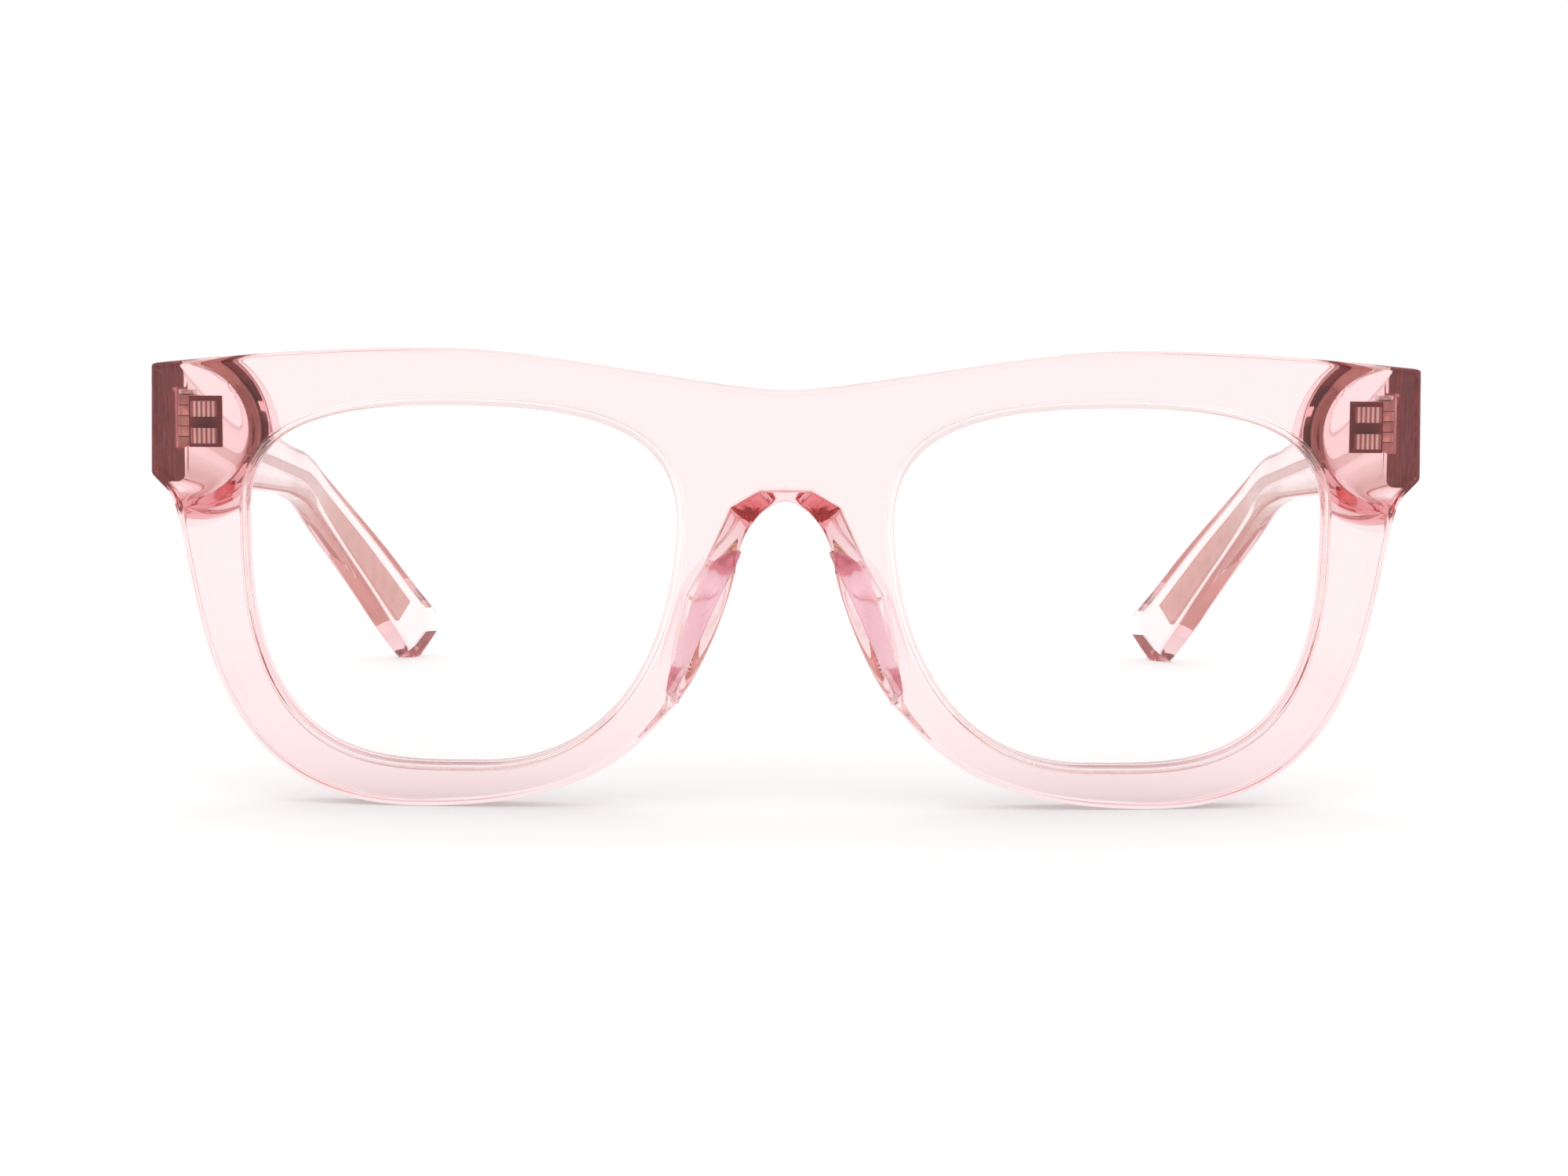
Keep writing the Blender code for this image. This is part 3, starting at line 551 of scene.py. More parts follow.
def clear_material(name, tint, depth, ior, roughness, haze, swell, scale=120.0):
    """A see-through plastic whose colour deepens with the distance that light goes through it."""
    material, tree, shader, place = blank_material(name)
    given = {"Vector": place, "Roughness": roughness, "Haze": haze, "Swell": swell, "Scale": scale}
    wear = effect(tree, "Polish wear", polish_wear_group, given)
    surface = {"Base Color": WHITE, "Transmission Weight": 1.0, "IOR": ior}
    feed(tree, shader, surface | {"Roughness": wear["Roughness"], "Normal": wear["Normal"]})
    volume = add_node(tree, "VolumeAbsorption", {"Color": (*tint, 1.0), "Density": depth})
    feed(tree, tree.nodes["Material Output"], {"Volume": volume.outputs["Volume"]})
    return material


def metal_material(name, tint, stain, stretch, roughness, streaks):
    material, tree, shader, place = blank_material(name)
    given = {"Vector": place, "Colour": (*tint, 1.0), "Stain": (*stain, 1.0)}
    given |= {"Stretch": stretch, "Roughness": roughness, "Streaks": streaks}
    brushed = effect(tree, "Brushed metal", brushed_group, given)
    surface = {"Metallic": 1.0, "Base Color": brushed["Colour"]}
    feed(tree, shader, surface | {label: brushed[label] for label in ("Roughness", "Normal")})
    return material


def material_named(name, build, *values):
    return bpy.data.materials.get(name) or build(name, *values)


def acetate(name):
    """The transparent acetate of the front and the temples."""
    finish = sizes("finishes")
    tint, depth = finish.acetate, finish.acetate_depth
    return clear_material(name, tint, depth, ACETATE_IOR, finish.polish, 0.03, 0.02)


def temple_acetate(name):
    """The front's acetate, with a saw-cut front end that carries painted shade."""
    material = acetate(name)
    tree = material.node_tree
    place = tree.nodes["Texture Coordinate"].outputs["Object"]
    given = {"Vector": place, "Place": TEMPLE_LOW.y + 0.1 * MM}
    saw_marks_and_painted_shade = effect(tree, "Sawn end with painted shade", shaded_sawn_end_group, given)
    wear = tree.nodes["Group"].outputs
    rough = reckon(tree, "ADD", wear["Roughness"], saw_marks_and_painted_shade["Roughness"])
    feed(tree, tree.nodes["Principled BSDF"], {"Base Color": saw_marks_and_painted_shade["Colour"], "Roughness": rough})
    return material


def front_leaf_material(name):
    """Hinge metal whose sunk feet end in faces painted with the highlights and shade of their ribs, in front
    of a plate painted dark as shade.
    """
    finish = sizes("finishes")
    material = metal_material(name, finish.hinge, finish.hinge_stain, UPRIGHT, 0.45, 0.25)
    tree = material.node_tree
    place = tree.nodes["Texture Coordinate"].outputs["Object"]
    waves = {"Vector": place, "Scale": 0.314 / (0.55 * MM), "Distortion": 1.2, "Detail Scale": 300.0}
    # Painted highlights and shade: bright and dark bands stand in for the light on the ribs of the sunk
    # feet.
    ribs = add_node(tree, "TexWave", waves, bands_direction="X").outputs["Fac"]
    rib_highlights_and_shade = blend(tree, ribs, (0.5, 0.12, 0.1, 1.0), (1.0, 0.86, 0.8, 1.0))
    # Painted shade: the dark colour put on the plate behind the feet.
    plate_painted_shade = (0.3, 0.07, 0.07, 1.0)
    depth = along_y(tree, place)
    metal = tree.nodes["Group"].outputs["Colour"]
    # The front 0.3 mm takes the painted rib highlights and shade, and the plate up to 3.4 mm behind it takes
    # the painted shade.
    for reach, tint in ((3.4 * MM, plate_painted_shade), (0.3 * MM, rib_highlights_and_shade)):
        ahead = reckon(tree, "LESS_THAN", depth, LEAF_LOW.y + reach)
        metal = blend(tree, ahead, metal, tint)
    feed(tree, tree.nodes["Principled BSDF"], {"Base Color": metal})
    return material


# ---- Front ----

ARCH_AIM = 8.0 * MM
QUARTER_ROUND = [
    (1.0 - math.cos(turn), 1.0 - math.sin(turn))
    for turn in (math.pi / 2 * index / ROUND_STEPS for index in range(ROUND_STEPS + 1))
]
FACE_PARTS = (0.03, 0.1, 0.3, 0.5, 0.7, 0.9, 0.97)
WALL_PARTS = (0.06, 0.2, 0.4, 0.6, 0.8, 0.94)
BACK_PARTS = (0.02, 0.05, *(0.08 + 0.84 * index / 42 for index in range(43)), 0.95, 0.98)
GROOVE_STEPS = ((1.0, 0.0), (1.0, 0.05), (1.0, 1.0), (-1.0, 1.0), (-1.0, 0.05), (-1.0, 0.0))


def wrap_depth(place):
    """How far back the face form of the front lies at a place."""
    front = sizes("front")
    reach = max(0.0, abs(place.x) - front.wrap_flat)
    return front.wrap_radius - math.sqrt(front.wrap_radius**2 - reach**2)


def lens_anchors():
    front = sizes("front")
    half_x, half_z = front.lens_width / 2, front.lens_height / 2
    top = Anchor(LENS_X + 0.06 * half_x, LENS_Z + half_z, (-0.555 * half_x, 0.0), (1.04 * half_x, 0.0))
    side = Anchor(LENS_X + half_x, LENS_Z + 0.266 * half_z, (0.0, 0.258 * half_z), (0.0, -1.366 * half_z))
    bottom = Anchor(LENS_X - 0.067 * half_x, LENS_Z - half_z, (0.4 * half_x, 0.0), (-0.908 * half_x, 0.0))
    nose = Anchor(LENS_X - half_x, LENS_Z + 0.372 * half_z, (0.0, -0.12 * half_z), (0.0, 0.56 * half_z))
    return [top, side, bottom, nose, top]


def arch_anchors():
    """The nose arch, from the bottom of the right rim up to the middle of the bridge."""
    front = sizes("front")
    half_x, half_z = front.lens_width / 2, front.lens_height / 2
    rim = Anchor(LENS_X - 0.8 * half_x - 4.3 * MM, LENS_Z - 0.52 * half_z - 3.5 * MM)
    flank = Anchor(front.bridge_gap / 2 - front.rim_nasal, LENS_Z + 0.123 * half_z)
    top = Anchor(0.0, FRONT_TOP - front.bridge_drop - front.bridge_height)
    return [
        rim._replace(back=(4.1 * MM, -4.5 * MM), on=(-4.2 * MM, 4.7 * MM)),
        flank._replace(back=(0.3 * MM, -2.5 * MM), on=(-0.8 * MM, 6.0 * MM)),
        top._replace(back=(0.9 * MM, 0.0)),
    ]


def front_chain():
    """The right half of the outer outline, clockwise from the top of the bridge to the top of the arch."""
    front = sizes("front")
    half_x, half_z = front.lens_width / 2, front.lens_height / 2
    end_top = FRONT_TOP - front.end_drop
    end_bottom = end_top - front.end_height
    anchors = [
        Anchor(0.0, FRONT_TOP - front.bridge_drop, on=(9.0 * MM, 0.0)),
        Anchor(LENS_X + 0.12 * half_x, FRONT_TOP, (-13.5 * MM, 0.0), (0.45 * half_x, 0.0)),
        Anchor(FRONT_HALF - 0.2 * MM, end_top, (-0.45 * half_x, 1.2 * MM)),
        Anchor(FRONT_HALF, end_bottom + front.end_chamfer),
        Anchor(LENS_X + half_x + front.rim_side, end_bottom, on=(-0.12 * half_x, -0.6 * half_z)),
        Anchor(LENS_X + 0.23 * half_x, 0.0, (half_x, 0.0), (-0.83 * half_x, 0.0)),
        *arch_anchors(),
    ]
    steps = [step * MM for step in (1.2, 0.6, 0.35, 0.35, 0.7, 1.0, 0.6, 0.35)]
    points, marks = chain(anchors, steps)
    for corner, reach in ((marks[2], 1), (marks[3], 1), (marks[4], 4)):
        soften(points, corner, reach)
    return points, marks


def arch_flare(points, marks):
    """How far the back edge of the nose arch lies outside its front edge, at each point of the outline."""
    front = sizes("front")
    top = FRONT_TOP - front.bridge_drop - front.bridge_height

    def corner(x, z):
        return Vector((x * MM, top + z * MM))

    peak, ridge, shoulder = corner(0.0, 1.0), corner(2.9, 0.95), corner(6.2, -1.0)
    flank, cheek, lower = corner(9.1, -7.2), corner(11.2, -11.0), corner(12.9, -18.5)
    foot = points[marks[6]] + Vector((0.6 * MM, 0.3 * MM))
    toe = points[marks[6] - 6]
    corners = [toe, foot, lower, cheek, flank, shoulder, ridge, peak]
    end = len(points) - 1
    stops = [marks[6] - 6, marks[6]]
    for facet in (lower, cheek, flank):
        misses = [abs(point.y - facet.y + 0.8 * MM) for point in points[marks[6] : end]]
        stops.append(marks[6] + misses.index(min(misses)))
    for part in (0.52, 0.58, 1.0):
        stops.append(stops[-1] + round((end - stops[-1]) * part))
    moved = {}
    for first, last, one, two in zip(stops, stops[1:], corners, corners[1:]):
        for index in range(first, last + 1):
            moved[index] = one.lerp(two, (index - first) / (last - first)) - points[index]
    return moved


def arch_share(index, marks, count):
    """One at the top of the nose arch, fading to nought down its flank and up the bridge."""
    flank, peak = marks[7], marks[8]
    if index <= peak:
        return max(0.0, (index - flank) / (peak - flank))
    return (count - index) / (count - peak)


def opening_radius(opening):
    """A function that gives the distance from the lens middle to its opening in a direction."""
    spokes = [point - LENS_MIDDLE for point in opening]
    polar = sorted((math.atan2(spoke.y, spoke.x), spoke.length) for spoke in spokes)
    angles = [item[0] for item in polar]

    def radius(direction):
        place = bisect_left(angles, direction) % len(polar)
        before, after = polar[place - 1], polar[place]
        span = (after[0] - before[0]) % (2 * math.pi)
        part = ((direction - before[0]) % (2 * math.pi)) / span
        return before[1] + (after[1] - before[1]) * part

    return radius


def back_depth(place):
    """The back of the front: a plate that follows the face form, with the hinge block and its cove."""
    front = sizes("front")
    base = wrap_depth(place) + front.thickness
    reach = math.hypot(place.x - PIVOT_X - 0.4 * MM, place.y - SCREW_LOW.z - 1.95 * MM) - front.block_radius
    reach = (reach + math.hypot(reach, 0.3 * MM)) / 2
    slope = (1.0 - min(1.0, reach / front.cove_width)) ** 2.1
    return base + (BLOCK_BACK - base) * slope


def front_lines():
    """Matching points of the outer edge, of its back and of the lens opening, and the edge's normals."""
    outer, marks = front_chain()
    middle_line = resampled([outer[-1], outer[0]], 1.2 * MM)[1:]
    edge = outer + middle_line
    normals = outward(outer, closed=False) + [Vector((0.0, 0.0))] * len(middle_line)
    normals[0], normals[len(outer) - 1] = Vector((0.0, 1.0)), Vector((0.0, -1.0))
    flare = arch_flare(outer, marks)
    lift = flare[len(outer) - 1].y + sizes("front").edge_round
    for index in range(len(middle_line)):
        flare[len(outer) + index] = Vector((0.0, lift * (1.0 - index / len(middle_line))))
    back = [point + flare.get(index, Vector((0.0, 0.0))) for index, point in enumerate(edge)]
    radius = opening_radius(chain(lens_anchors(), [0.4 * MM] * 4)[0][:-1])
    inner = []
    for index, point in enumerate(edge):
        aim = point + Vector((0.0, ARCH_AIM * arch_share(index, marks, len(edge)))) - LENS_MIDDLE
        inner.append(LENS_MIDDLE + aim.normalized() * radius(math.atan2(aim.y, aim.x)))
    return edge, back, normals, inner


def front_rings():
    """Rings round the right half: from the opening over the face, the wall and the back to the groove."""
    front = sizes("front")
    edge, lip = front.edge_round, front.opening_round
    outer, outer_back, normals, inner = front_lines()
    inner_normals = outward(inner)

    def ring(places, depth, extra=0.0):
        return [Vector((place.x, depth(place) + extra, place.y)) for place in places]

    def inset(points, directions, distance):
        return [point + direction * distance for point, direction in zip(points, directions)]

    def rounded(points, directions, inwards, depth, sink):
        return [
            ring(inset(points, directions, inwards * aside), depth, sink * along)
            for aside, along in QUARTER_ROUND
        ]

    def spanned(starts, ends, parts, depth):
        return [ring([a.lerp(b, part) for a, b in zip(starts, ends)], depth) for part in parts]

    near = inset(inner, inner_normals, lip)
    rings = rounded(inner, inner_normals, lip, wrap_depth, lip)
    rings += spanned(near, inset(outer, normals, -edge), FACE_PARTS, wrap_depth)
    rings += reversed(rounded(outer, normals, -edge, wrap_depth, edge))
    wall = list(zip(rings[-1], ring(outer_back, back_depth, -edge)))
    rings += [[a.lerp(b, part) for a, b in wall] for part in WALL_PARTS]
    rings += rounded(outer_back, normals, -edge, back_depth, -edge)
    rings += spanned(inset(outer_back, normals, -edge), near, BACK_PARTS, back_depth)
    rings += reversed(rounded(inner, inner_normals, lip, back_depth, -lip))
    for side, reach in GROOVE_STEPS:
        places = inset(inner, inner_normals, front.groove_depth * reach)
        rings.append(ring(places, wrap_depth, front.thickness / 2 + front.groove_width / 2 * side))
    return rings


def front_half():
    """The right half of the front as one shell, open at the middle plane."""
    rings = front_rings()
    bm = bmesh.new()
    edges = first_ring(bm, rings[0])
    for places in rings[1:] + rings[:1]:
        edges = next_ring(bm, edges, places)
    bmesh.ops.remove_doubles(bm, verts=bm.verts, dist=WELD)
    flat = [f for f in bm.faces if all(abs(v.co.x) < ON_PLANE for v in f.verts)]
    bmesh.ops.delete(bm, geom=flat, context="FACES")
    return bm


def front_shell():
    bm = front_half()
    bmesh.ops.mirror(bm, geom=whole(bm), matrix=Matrix.Identity(4), merge_dist=2 * WELD, axis="X")
    bmesh.ops.remove_doubles(bm, verts=bm.verts, dist=WELD)
    bmesh.ops.recalc_face_normals(bm, faces=bm.faces)
    return bm


class GLASSES_OT_front(bpy.types.Operator):
    """Builds the milled acetate front with its rims, bridge and hinge blocks"""

    bl_idname = "glasses.front"
    bl_label = "Front"

    def execute(self, context):
        pink = material_named("pink acetate", acetate)
        front = finished("front_acetate", front_shell(), pink, sharp=32.0)
        settle(front, "front", "acetate", "front_frame")
        return {"FINISHED"}


# ---- Lenses ----


def lens_body():
    """A domed lens with a ridge round its edge that sits in the groove."""
    lens = sizes("lenses")
    front = sizes("front")
    opening, _ = chain(lens_anchors(), [0.8 * MM] * 4)
    opening = opening[:-1]
    normals = outward(opening)
    edge_depth = (front.thickness - lens.thickness) / 2

    def ring(part, grow, extra):
        places = []
        for point, normal in zip(opening, normals):
            place = LENS_MIDDLE + (point + normal * grow - LENS_MIDDLE) * part
            dome = lens.dome * (1.0 - part**2)
            places.append(Vector((place.x, wrap_depth(place) + edge_depth - dome + extra, place.y)))
        return places

    steps = [(part, 0.0, 0.0) for part in (0.04, 0.12, 0.25, 0.4, 0.55, 0.7, 0.82, 0.92, 0.97, 1.0)]
    steps += [(1.0, lens.edge - 0.1 * MM, 0.0), (1.0, lens.edge, 0.1 * MM)]
    steps += [(part, grow, lens.thickness - extra) for part, grow, extra in reversed(steps)]
    bm = bmesh.new()
    edges = centre_front = first_ring(bm, ring(*steps[0]))
    for step in steps[1:]:
        edges = next_ring(bm, edges, ring(*step))
    for loop in (centre_front, edges):
        made = bmesh.ops.holes_fill(bm, edges=loop)
        bmesh.ops.poke(bm, faces=made["faces"])
    bmesh.ops.recalc_face_normals(bm, faces=bm.faces)
    return bm


class GLASSES_OT_lenses(bpy.types.Operator):
    """Builds the two clear lenses"""

    bl_idname = "glasses.lenses"
    bl_label = "Lenses"

    def execute(self, context):
        finish = sizes("finishes")
        clear = material_named(
            "filter lens", clear_material, finish.lens, finish.lens_depth, LENS_IOR, 0.0, 0.006, 0.004, 60.0
        )
        right = lens_body()
        for side, bm in zip(SIDES, (mirrored(right), right)):
            lens = finished(f"lens_{side}_clear", bm, clear)
            settle(lens, "front", "lens", f"lens_{side}")
        return {"FINISHED"}


# ---- Nose pads ----

PAD_PARTS = (-0.62, -0.45, -0.3, -0.15, 0.0, 0.15, 0.3, 0.45, 0.58, 0.7, 0.8, 0.88, 0.94, 0.98, 1.0)


def pad_body():
    """A splayed lobe with a flat ground face, before it is fitted to the front."""
    pads = sizes("pads")
    front = sizes("front")
    arch, marks = chain(arch_anchors(), [1.7 * MM, 0.9 * MM])
    inner = [point + Vector((pads.set_in, 0.0)) for point in arch[1 : marks[1] + 2]]
    waist = arch[marks[1] - 3]
    upper = Anchor(inner[-1].x, inner[-1].y, on=(1.0 * MM, 2.4 * MM))
    belly = Anchor(waist.x + pads.width, waist.y, (-1.1 * MM, 4.2 * MM), (1.0 * MM, -3.9 * MM))
    lower = Anchor(inner[0].x + 1.1 * MM, inner[0].y - 0.9 * MM, back=(0.6 * MM, 2.0 * MM))
    outer, _ = chain([upper, belly, lower], [1.0 * MM, 1.0 * MM])
    footprint = inner + outer[1:]
    middle = sum(footprint, Vector((0.0, 0.0))) / len(footprint)
    seat = front.thickness + 0.1 * MM
    bm = bmesh.new()
    edges = None
    for part in PAD_PARTS:
        width = math.sqrt(1.0 - 0.86 * max(0.0, part) ** 2.6)
        reach = pads.depth * part
        places = []
        for point in footprint:
            place = middle + (point - middle) * width
            places.append(Vector((place.x + reach * math.tan(pads.splay), seat + reach, place.y)))
        edges = next_ring(bm, edges, places) if edges else first_ring(bm, places)
    bmesh.ops.holes_fill(bm, edges=[edge for edge in bm.edges if edge.is_boundary])
    bmesh.ops.recalc_face_normals(bm, faces=bm.faces)
    bmesh.ops.subdivide_edges(
        bm, edges=bm.edges[:], cuts=1, smooth=0.8, use_grid_fill=True, use_smooth_even=True
    )
    foot, head = arch[1], arch[marks[1]]
    edge = (head - foot).normalized()
    up = Vector((edge.x, 0.0, edge.y))
    back = Vector((math.sin(pads.grind), math.cos(pads.grind), 0.0))
    normal = up.cross(back).normalized()
    normal = normal if normal.x < 0.0 else -normal
    point = foot.lerp(head, 0.45)
    rim = cut(bm, Vector((point.x + 0.25 * MM, 0.9 * MM, point.y)), normal)
    bevel(bm, [e for e in rim if e.is_valid], 0.2 * MM, 3)
    return bm


def shrunk_front(distance):
    """The front's shell, moved inwards along its normals, to fit cemented pieces against."""
    bm = front_shell()
    bm.normal_update()
    for vert in bm.verts:
        vert.co -= vert.normal * distance
    bmesh.ops.translate(bm, vec=(0.0, START_Y, 0.0), verts=bm.verts)
    return bm


class GLASSES_OT_pads(bpy.types.Operator):
    """Builds the two cemented nose pads"""

    bl_idname = "glasses.pads"
    bl_label = "Nose pads"

    def execute(self, context):
        finish = sizes("finishes")
        cemented = material_named(
            "pad acetate", clear_material, finish.pad, finish.pad_depth, ACETATE_IOR, 0.05, 0.12, 0.06, 400.0
        )
        right = finished("nose_pad_right_lobe", pad_body(), cemented)
        subtract(right, shrunk_front(sizes("pads").sink))
        copy = bmesh.new()
        copy.from_mesh(right.data)
        left = finished("nose_pad_left_lobe", mirrored(copy), cemented, shift=False)
        for side, pad in zip(SIDES, (left, right)):
            settle(pad, "front", "nose_pad_acetate", f"nose_pad_{side}")
        return {"FINISHED"}


# ---- Temples and core wires ----


def temple_length():
    temple = sizes("temples")
    return temple.straight + temple.hook_radius * (temple.hook_slope - temple.slope) + temple.tip


def temple_middle(distance):
    """The middle line of a temple at a distance from its front end: (y, z) and its slope."""
    temple = sizes("temples")
    slope = temple.slope
    y, z = TEMPLE_FRONT, TEMPLE_HIGH.z - temple.height / 2
    straight = min(distance, temple.straight)
    y += straight * math.cos(slope)
    z -= straight * math.sin(slope)
    if distance > temple.straight:
        turned = min((distance - temple.straight) / temple.hook_radius, temple.hook_slope - slope)
        slope += turned
        y += temple.hook_radius * (math.sin(slope) - math.sin(temple.slope))
        z -= temple.hook_radius * (math.cos(temple.slope) - math.cos(slope))
        rest = distance - temple.straight - temple.hook_radius * turned
        y += rest * math.cos(slope)
        z -= rest * math.sin(slope)
    return Vector((y, z)), slope


def temple_half_height(distance):
    temple = sizes("temples")
    waist = 0.9 * temple.straight
    if distance < waist:
        part = max(0.0, distance) / waist
        return (temple.height + (temple.waist - temple.height) * part) / 2
    part = min((distance - waist) / (temple_length() - temple.tip - waist), 1.0)
    return (temple.waist + (temple.hook - temple.waist) * part) / 2


def inward_shift(y):
    """How far a temple has moved towards the wearer's head at a distance behind its front end."""
    temple = sizes("temples")
    back = y - TEMPLE_FRONT
    hook = max(0.0, back - temple.inward_start)
    return temple.inward_slope * max(0.0, back) + temple.inward_curve * hook**2


def bend(bm):
    """Bends a straight strip, laid out as distance, thickness and height, to the shape of a temple."""
    middle_x = TEMPLE_HIGH.x - sizes("temples").thickness / 2
    for vert in bm.verts:
        distance, across, height = vert.co
        middle, slope = temple_middle(distance)
        y = middle.x + math.sin(slope) * height
        z = middle.y + math.cos(slope) * height
        vert.co = (middle_x - inward_shift(y) + across, y, z)


def long_edges(bm):
    return [e for e in bm.edges if abs((e.verts[0].co - e.verts[1].co).normalized().x) > 0.99]


def spaced(start, end, step):
    count = math.ceil((end - start) / step)
    return [start + (end - start) * index / count for index in range(count + 1)]


def temple_body():
    """A bar with rounded edges, shaped to its heights, cut at the tip and bent."""
    temple = sizes("temples")
    end, half = temple_length(), temple.height / 2
    hook = temple.hook / 2
    bm = bar(-3.0 * MM, end, temple.thickness, temple.height)
    bevel(bm, long_edges(bm), temple.edge_round, 6)
    slice_across(bm, spaced(-1.5 * MM, end - 0.5 * MM, 1.5 * MM))
    for vert in bm.verts:
        change = temple_half_height(vert.co.x) - half
        vert.co.z += change * math.copysign(1.0, vert.co.z)
    corner = Vector((end, 0.0, hook - temple.tip_corner))
    rims = cut(bm, corner, Vector((1.0, 0.0, 1.0)).normalized())
    low_corner = Vector((end, 0.0, -hook + 0.5 * MM))
    rims += cut(bm, low_corner, Vector((1.0, 0.0, -1.0)).normalized())
    rims += [e for e in bm.edges if all(abs(v.co.x - end) < ON_PLANE for v in e.verts)]
    bevel(bm, list(dict.fromkeys(e for e in rims if e.is_valid)), 0.35 * MM, 3)
    bend(bm)
    rims = cut(bm, Vector((0.0, TEMPLE_FRONT, 0.0)), Vector((0.0, -1.0, 0.0)))
    bevel(bm, rims, 0.12 * MM, 2)
    cut(bm, Vector((0.0, 0.0, 0.0)), Vector((0.0, 0.0, -1.0)))
    bmesh.ops.triangulate(bm, faces=[f for f in bm.faces if len(f.verts) > 4])
    bmesh.ops.recalc_face_normals(bm, faces=bm.faces)
    return bm


def knuckle_room():
    """The recess at the front end of a temple that clears the hinge barrels."""
    clearance = 0.3 * MM
    radius = 1.5 * MM + clearance
    bottom, top = SCREW_LOW.z - 0.15 * MM, SCREW_HIGH.z + clearance
    bm = bmesh.new()
    bmesh.ops.create_cone(
        bm, cap_ends=True, segments=48, radius1=radius, radius2=radius, depth=top - bottom
    )
    place = (PIVOT_X, PIVOT_Y + START_Y, (bottom + top) / 2)
    bmesh.ops.translate(bm, vec=place, verts=bm.verts)
    return bm


class GLASSES_OT_temples(bpy.types.Operator):
    """Builds the two folding temples"""

    bl_idname = "glasses.temples"
    bl_label = "Temples"

    def execute(self, context):
        right, room = temple_body(), knuckle_room()
        shapes = ((mirrored(right), mirrored(room)), (right, room))
        pink = material_named("temple acetate", temple_acetate)
        for side, (bm, recess) in zip(SIDES, shapes):
            temple = finished(f"temple_{side}_acetate", bm, pink)
            subtract(temple, recess)
            settle(temple, f"temple_{side}", "acetate", f"temple_{side}")
        return {"FINISHED"}


def wire_body():
    """A flat wire with rounded edges that widens towards its end."""
    temple = sizes("temples")
    start, end = temple.wire_start, temple_length() - temple.wire_end
    bm = bar(start, end, temple.wire_thickness, temple.wire_height)
    bevel(bm, long_edges(bm), 0.22 * MM, 4)
    rims = [e for e in bm.edges if abs(e.verts[0].co.x - e.verts[1].co.x) < ON_PLANE]
    bevel(bm, rims, 0.12 * MM, 2)
    slice_across(bm, spaced(start + 0.5 * MM, end - 0.5 * MM, 1.5 * MM))
    for vert in bm.verts:
        part = max(0.0, (vert.co.x - temple.straight) / (end - temple.straight))
        change = (temple.wire_tip - temple.wire_height) / 2 * math.sin(part * math.pi / 2)
        vert.co.z += change * math.copysign(1.0, vert.co.z)
    bend(bm)
    bmesh.ops.recalc_face_normals(bm, faces=bm.faces)
    return bm


class GLASSES_OT_wires(bpy.types.Operator):
    """Builds the core wires inside the temples"""

    bl_idname = "glasses.wires"
    bl_label = "Core wires"

    def execute(self, context):
        finish = sizes("finishes")
        steel = material_named(
            "core wire", metal_material, finish.wire, (0.72, 0.42, 0.34), LENGTHWAYS, 0.3, 0.25
        )
        right = wire_body()
        for side, bm in zip(SIDES, (mirrored(right), right)):
            wire = finished(f"core_wire_{side}_strip", bm, steel)
            settle(wire, f"temple_{side}", "core_wire", f"core_wire_{side}")
        return {"FINISHED"}


# ---- Hinges ----


def softened_copy(node, material, round_by):
    """A copy of a packed piece with its loose triangles merged and its sharp edges broken."""
    bm = bmesh.new()
    bm.from_mesh(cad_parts[node].data)
    bmesh.ops.remove_doubles(bm, verts=bm.verts, dist=2 * WELD)
    bmesh.ops.dissolve_limit(bm, angle_limit=math.radians(1.0), verts=bm.verts[:], edges=bm.edges[:])
    sharp = [e for e in bm.edges if len(e.link_faces) == 2 and e.calc_face_angle(0.0) > math.radians(40.0)]
    bevel(bm, sharp, round_by, 2)
    bmesh.ops.triangulate(bm, faces=[f for f in bm.faces if len(f.verts) > 4])
    bmesh.ops.recalc_face_normals(bm, faces=bm.faces)
    return finished(node + "_metal", bm, material, shift=False)


class GLASSES_OT_hinges(bpy.types.Operator):
    """Builds the hinge leaves and their screws"""

    bl_idname = "glasses.hinges"
    bl_label = "Hinges"

    def execute(self, context):
        finish = sizes("finishes")
        leaf_metal = material_named(
            "hinge metal", metal_material, finish.hinge, finish.hinge_stain, UPRIGHT, 0.25, 0.25
        )
        sunk_metal = material_named("front hinge metal", front_leaf_material)
        screw_metal = material_named(
            "screw metal", metal_material, finish.screw, (0.5, 0.42, 0.36), (1.0, 1.0, 1.0), 0.18, 0.15
        )
        for side in SIDES:
            leaves = (("front", "front", sunk_metal), ("temple", f"temple_{side}", leaf_metal))
            for leaf, body, metal in leaves:
                node = f"hinge_{leaf}_leaf_{side}"
                settle(softened_copy(node, metal, 0.05 * MM), body, "hinge", node)
            node = f"hinge_screw_{side}"
            settle(softened_copy(node, screw_metal, 0.04 * MM), "front", "screw", node)
        return {"FINISHED"}


# ---- Stage ----

CLEAR_BOUNCES = 48


def build_floor(stage):
    bm = bmesh.new()
    bmesh.ops.create_grid(bm, x_segments=1, y_segments=1, size=stage.floor_size / 2)
    material, tree, shader, place = blank_material("studio floor")
    rough = spread(tree, noise(tree, place, 30.0), 0.0, 1.0, (0.8, 0.95))
    tint = (*stage.floor, 1.0)
    feed(tree, shader, {"Base Color": tint, "Roughness": rough, "Specular IOR Level": 0.0})
    feed(tree, shader, {"Emission Color": tint, "Emission Strength": stage.glow})
    finished("floor", bm, material, shift=False)


def build_light(stage):
    """A white studio tent, darker behind the camera."""
    world = bpy.data.worlds.new("studio tent")
    bpy.context.scene.world = world
    world.use_nodes = True
    tree = world.node_tree
    place = add_node(tree, "TexCoord", {}).outputs["Generated"]
    shade = spread(tree, along_y(tree, place), -0.78, -0.97, (1.0, 0.0), interpolation_type="SMOOTHSTEP")
    tone = blend(tree, shade, (*stage.dusk, 1.0), WHITE)
    feed(tree, tree.nodes["Background"], {"Color": tone, "Strength": stage.light})


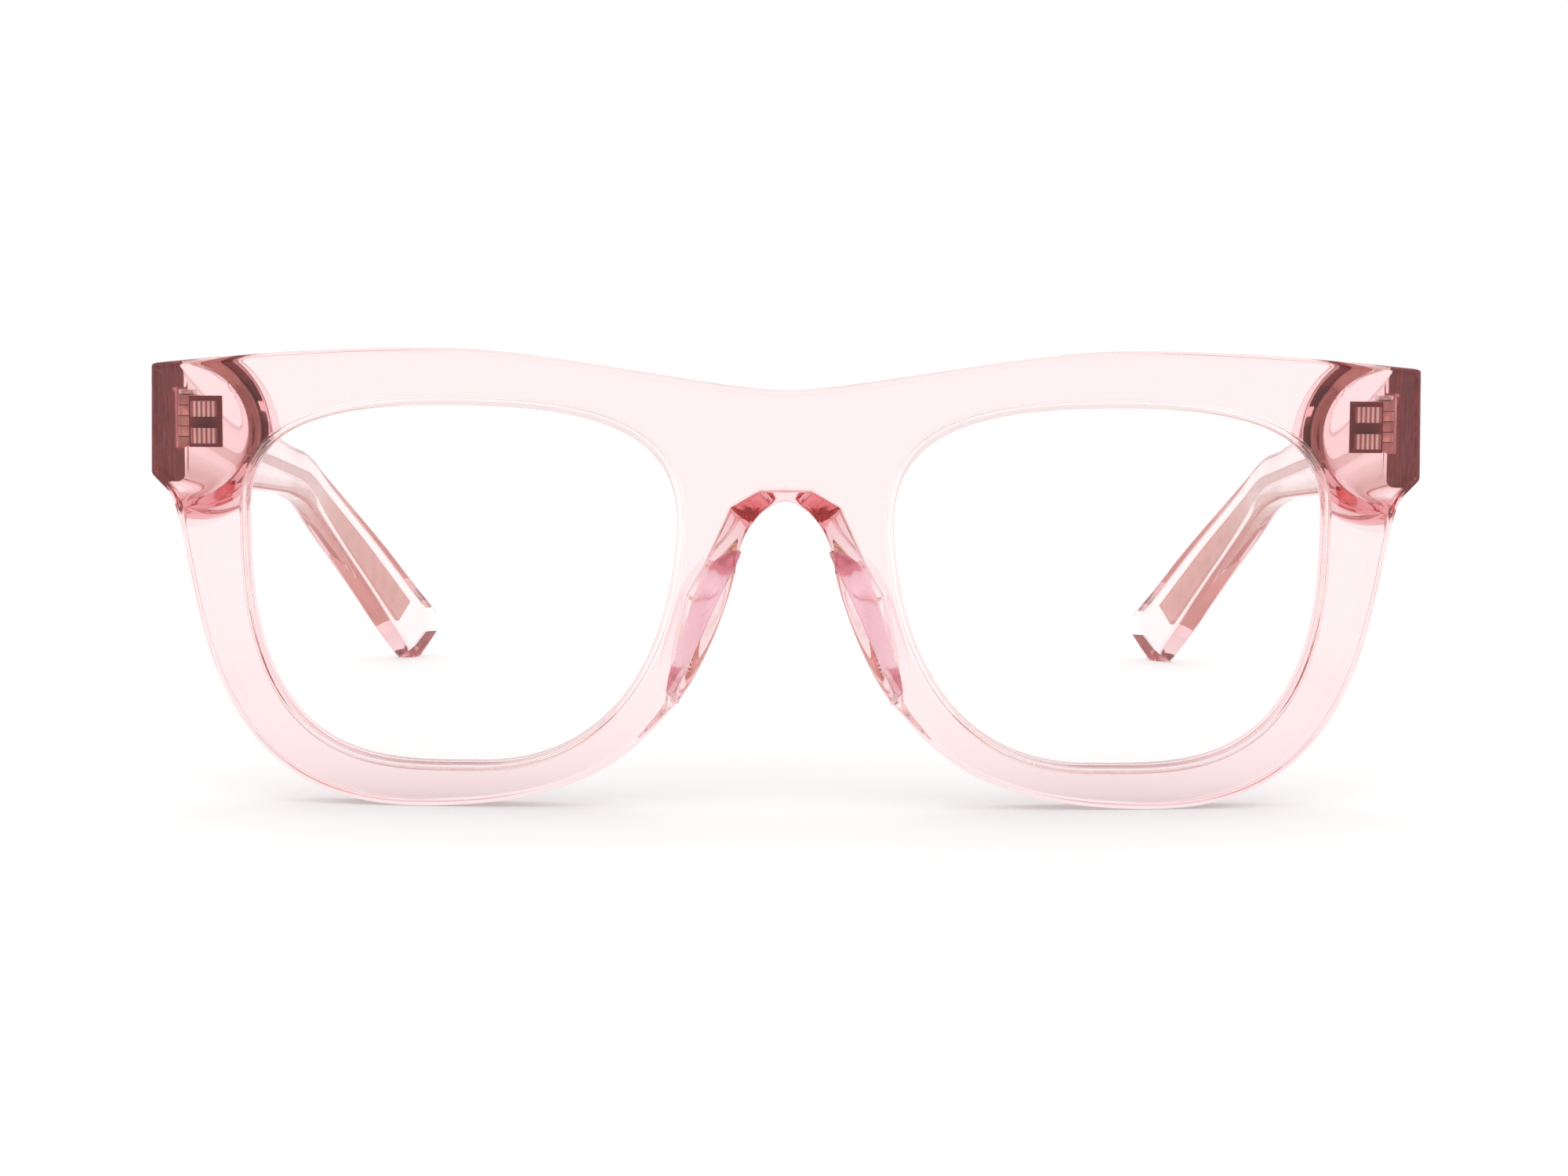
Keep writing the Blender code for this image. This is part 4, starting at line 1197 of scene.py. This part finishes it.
def build_camera(stage):
    data = bpy.data.cameras.new("camera")
    data.lens = stage.focal
    data.sensor_width = 36.0
    data.clip_start = 0.01
    data.clip_end = 50.0
    camera = bpy.data.objects.new("camera", data)
    bpy.context.scene.collection.objects.link(camera)
    camera.location = (-0.00013, START_Y - stage.camera_reach, stage.camera_height)
    tilt = Matrix.Rotation(math.radians(90.0) - stage.camera_pitch, 4, "X")
    roll = Matrix.Rotation(stage.camera_roll, 4, "Z")
    camera.rotation_euler = (tilt @ roll).to_euler()
    bpy.context.scene.camera = camera


class GLASSES_OT_stage(bpy.types.Operator):
    """Builds the floor, the studio light and the camera"""

    bl_idname = "glasses.stage"
    bl_label = "Stage"

    def execute(self, context):
        stage = sizes("stage")
        build_floor(stage)
        build_light(stage)
        build_camera(stage)
        context.scene.view_settings.view_transform = "Standard"
        cycles = context.scene.cycles
        cycles.max_bounces = 64
        cycles.transmission_bounces = cycles.glossy_bounces = CLEAR_BOUNCES
        cycles.transparent_max_bounces = 16
        cycles.caustics_refractive = True
        cycles.caustics_reflective = False
        return {"FINISHED"}


# ---- Panel and registration ----

PIECES = (
    GLASSES_OT_front,
    GLASSES_OT_lenses,
    GLASSES_OT_pads,
    GLASSES_OT_temples,
    GLASSES_OT_wires,
    GLASSES_OT_hinges,
    GLASSES_OT_stage,
)

SETTINGS = {
    "glasses_front": FrontSizes,
    "glasses_lenses": LensSizes,
    "glasses_pads": PadSizes,
    "glasses_temples": TempleSizes,
    "glasses_finishes": Finishes,
    "glasses_stage": StageSizes,
}


class GLASSES_PT_panel(bpy.types.Panel):
    """Lists the sizes and colours, and one button for each piece"""

    bl_idname = "GLASSES_PT_panel"
    bl_label = "Glasses"
    bl_space_type = "VIEW_3D"
    bl_region_type = "UI"
    bl_category = "Glasses"

    def draw(self, context):
        for operator in PIECES:
            self.layout.operator(operator.bl_idname)
        for name, kind in SETTINGS.items():
            group = getattr(context.scene, name)
            section = self.layout.box()
            section.label(text=kind.__doc__)
            for field in kind.__annotations__:
                section.prop(group, field)


CLASSES = (*SETTINGS.values(), *PIECES, GLASSES_PT_panel)


def register():
    for kind in CLASSES:
        bpy.utils.register_class(kind)
    for name, kind in SETTINGS.items():
        setattr(bpy.types.Scene, name, bpy.props.PointerProperty(type=kind))


def unregister():
    for name in SETTINGS:
        delattr(bpy.types.Scene, name)
    for kind in reversed(CLASSES):
        bpy.utils.unregister_class(kind)


def main():
    register()
    bpy.ops.glasses.front()
    bpy.ops.glasses.lenses()
    bpy.ops.glasses.pads()
    bpy.ops.glasses.temples()
    bpy.ops.glasses.wires()
    bpy.ops.glasses.hinges()
    bpy.ops.glasses.stage()


if __name__ == "__main__":
    main()
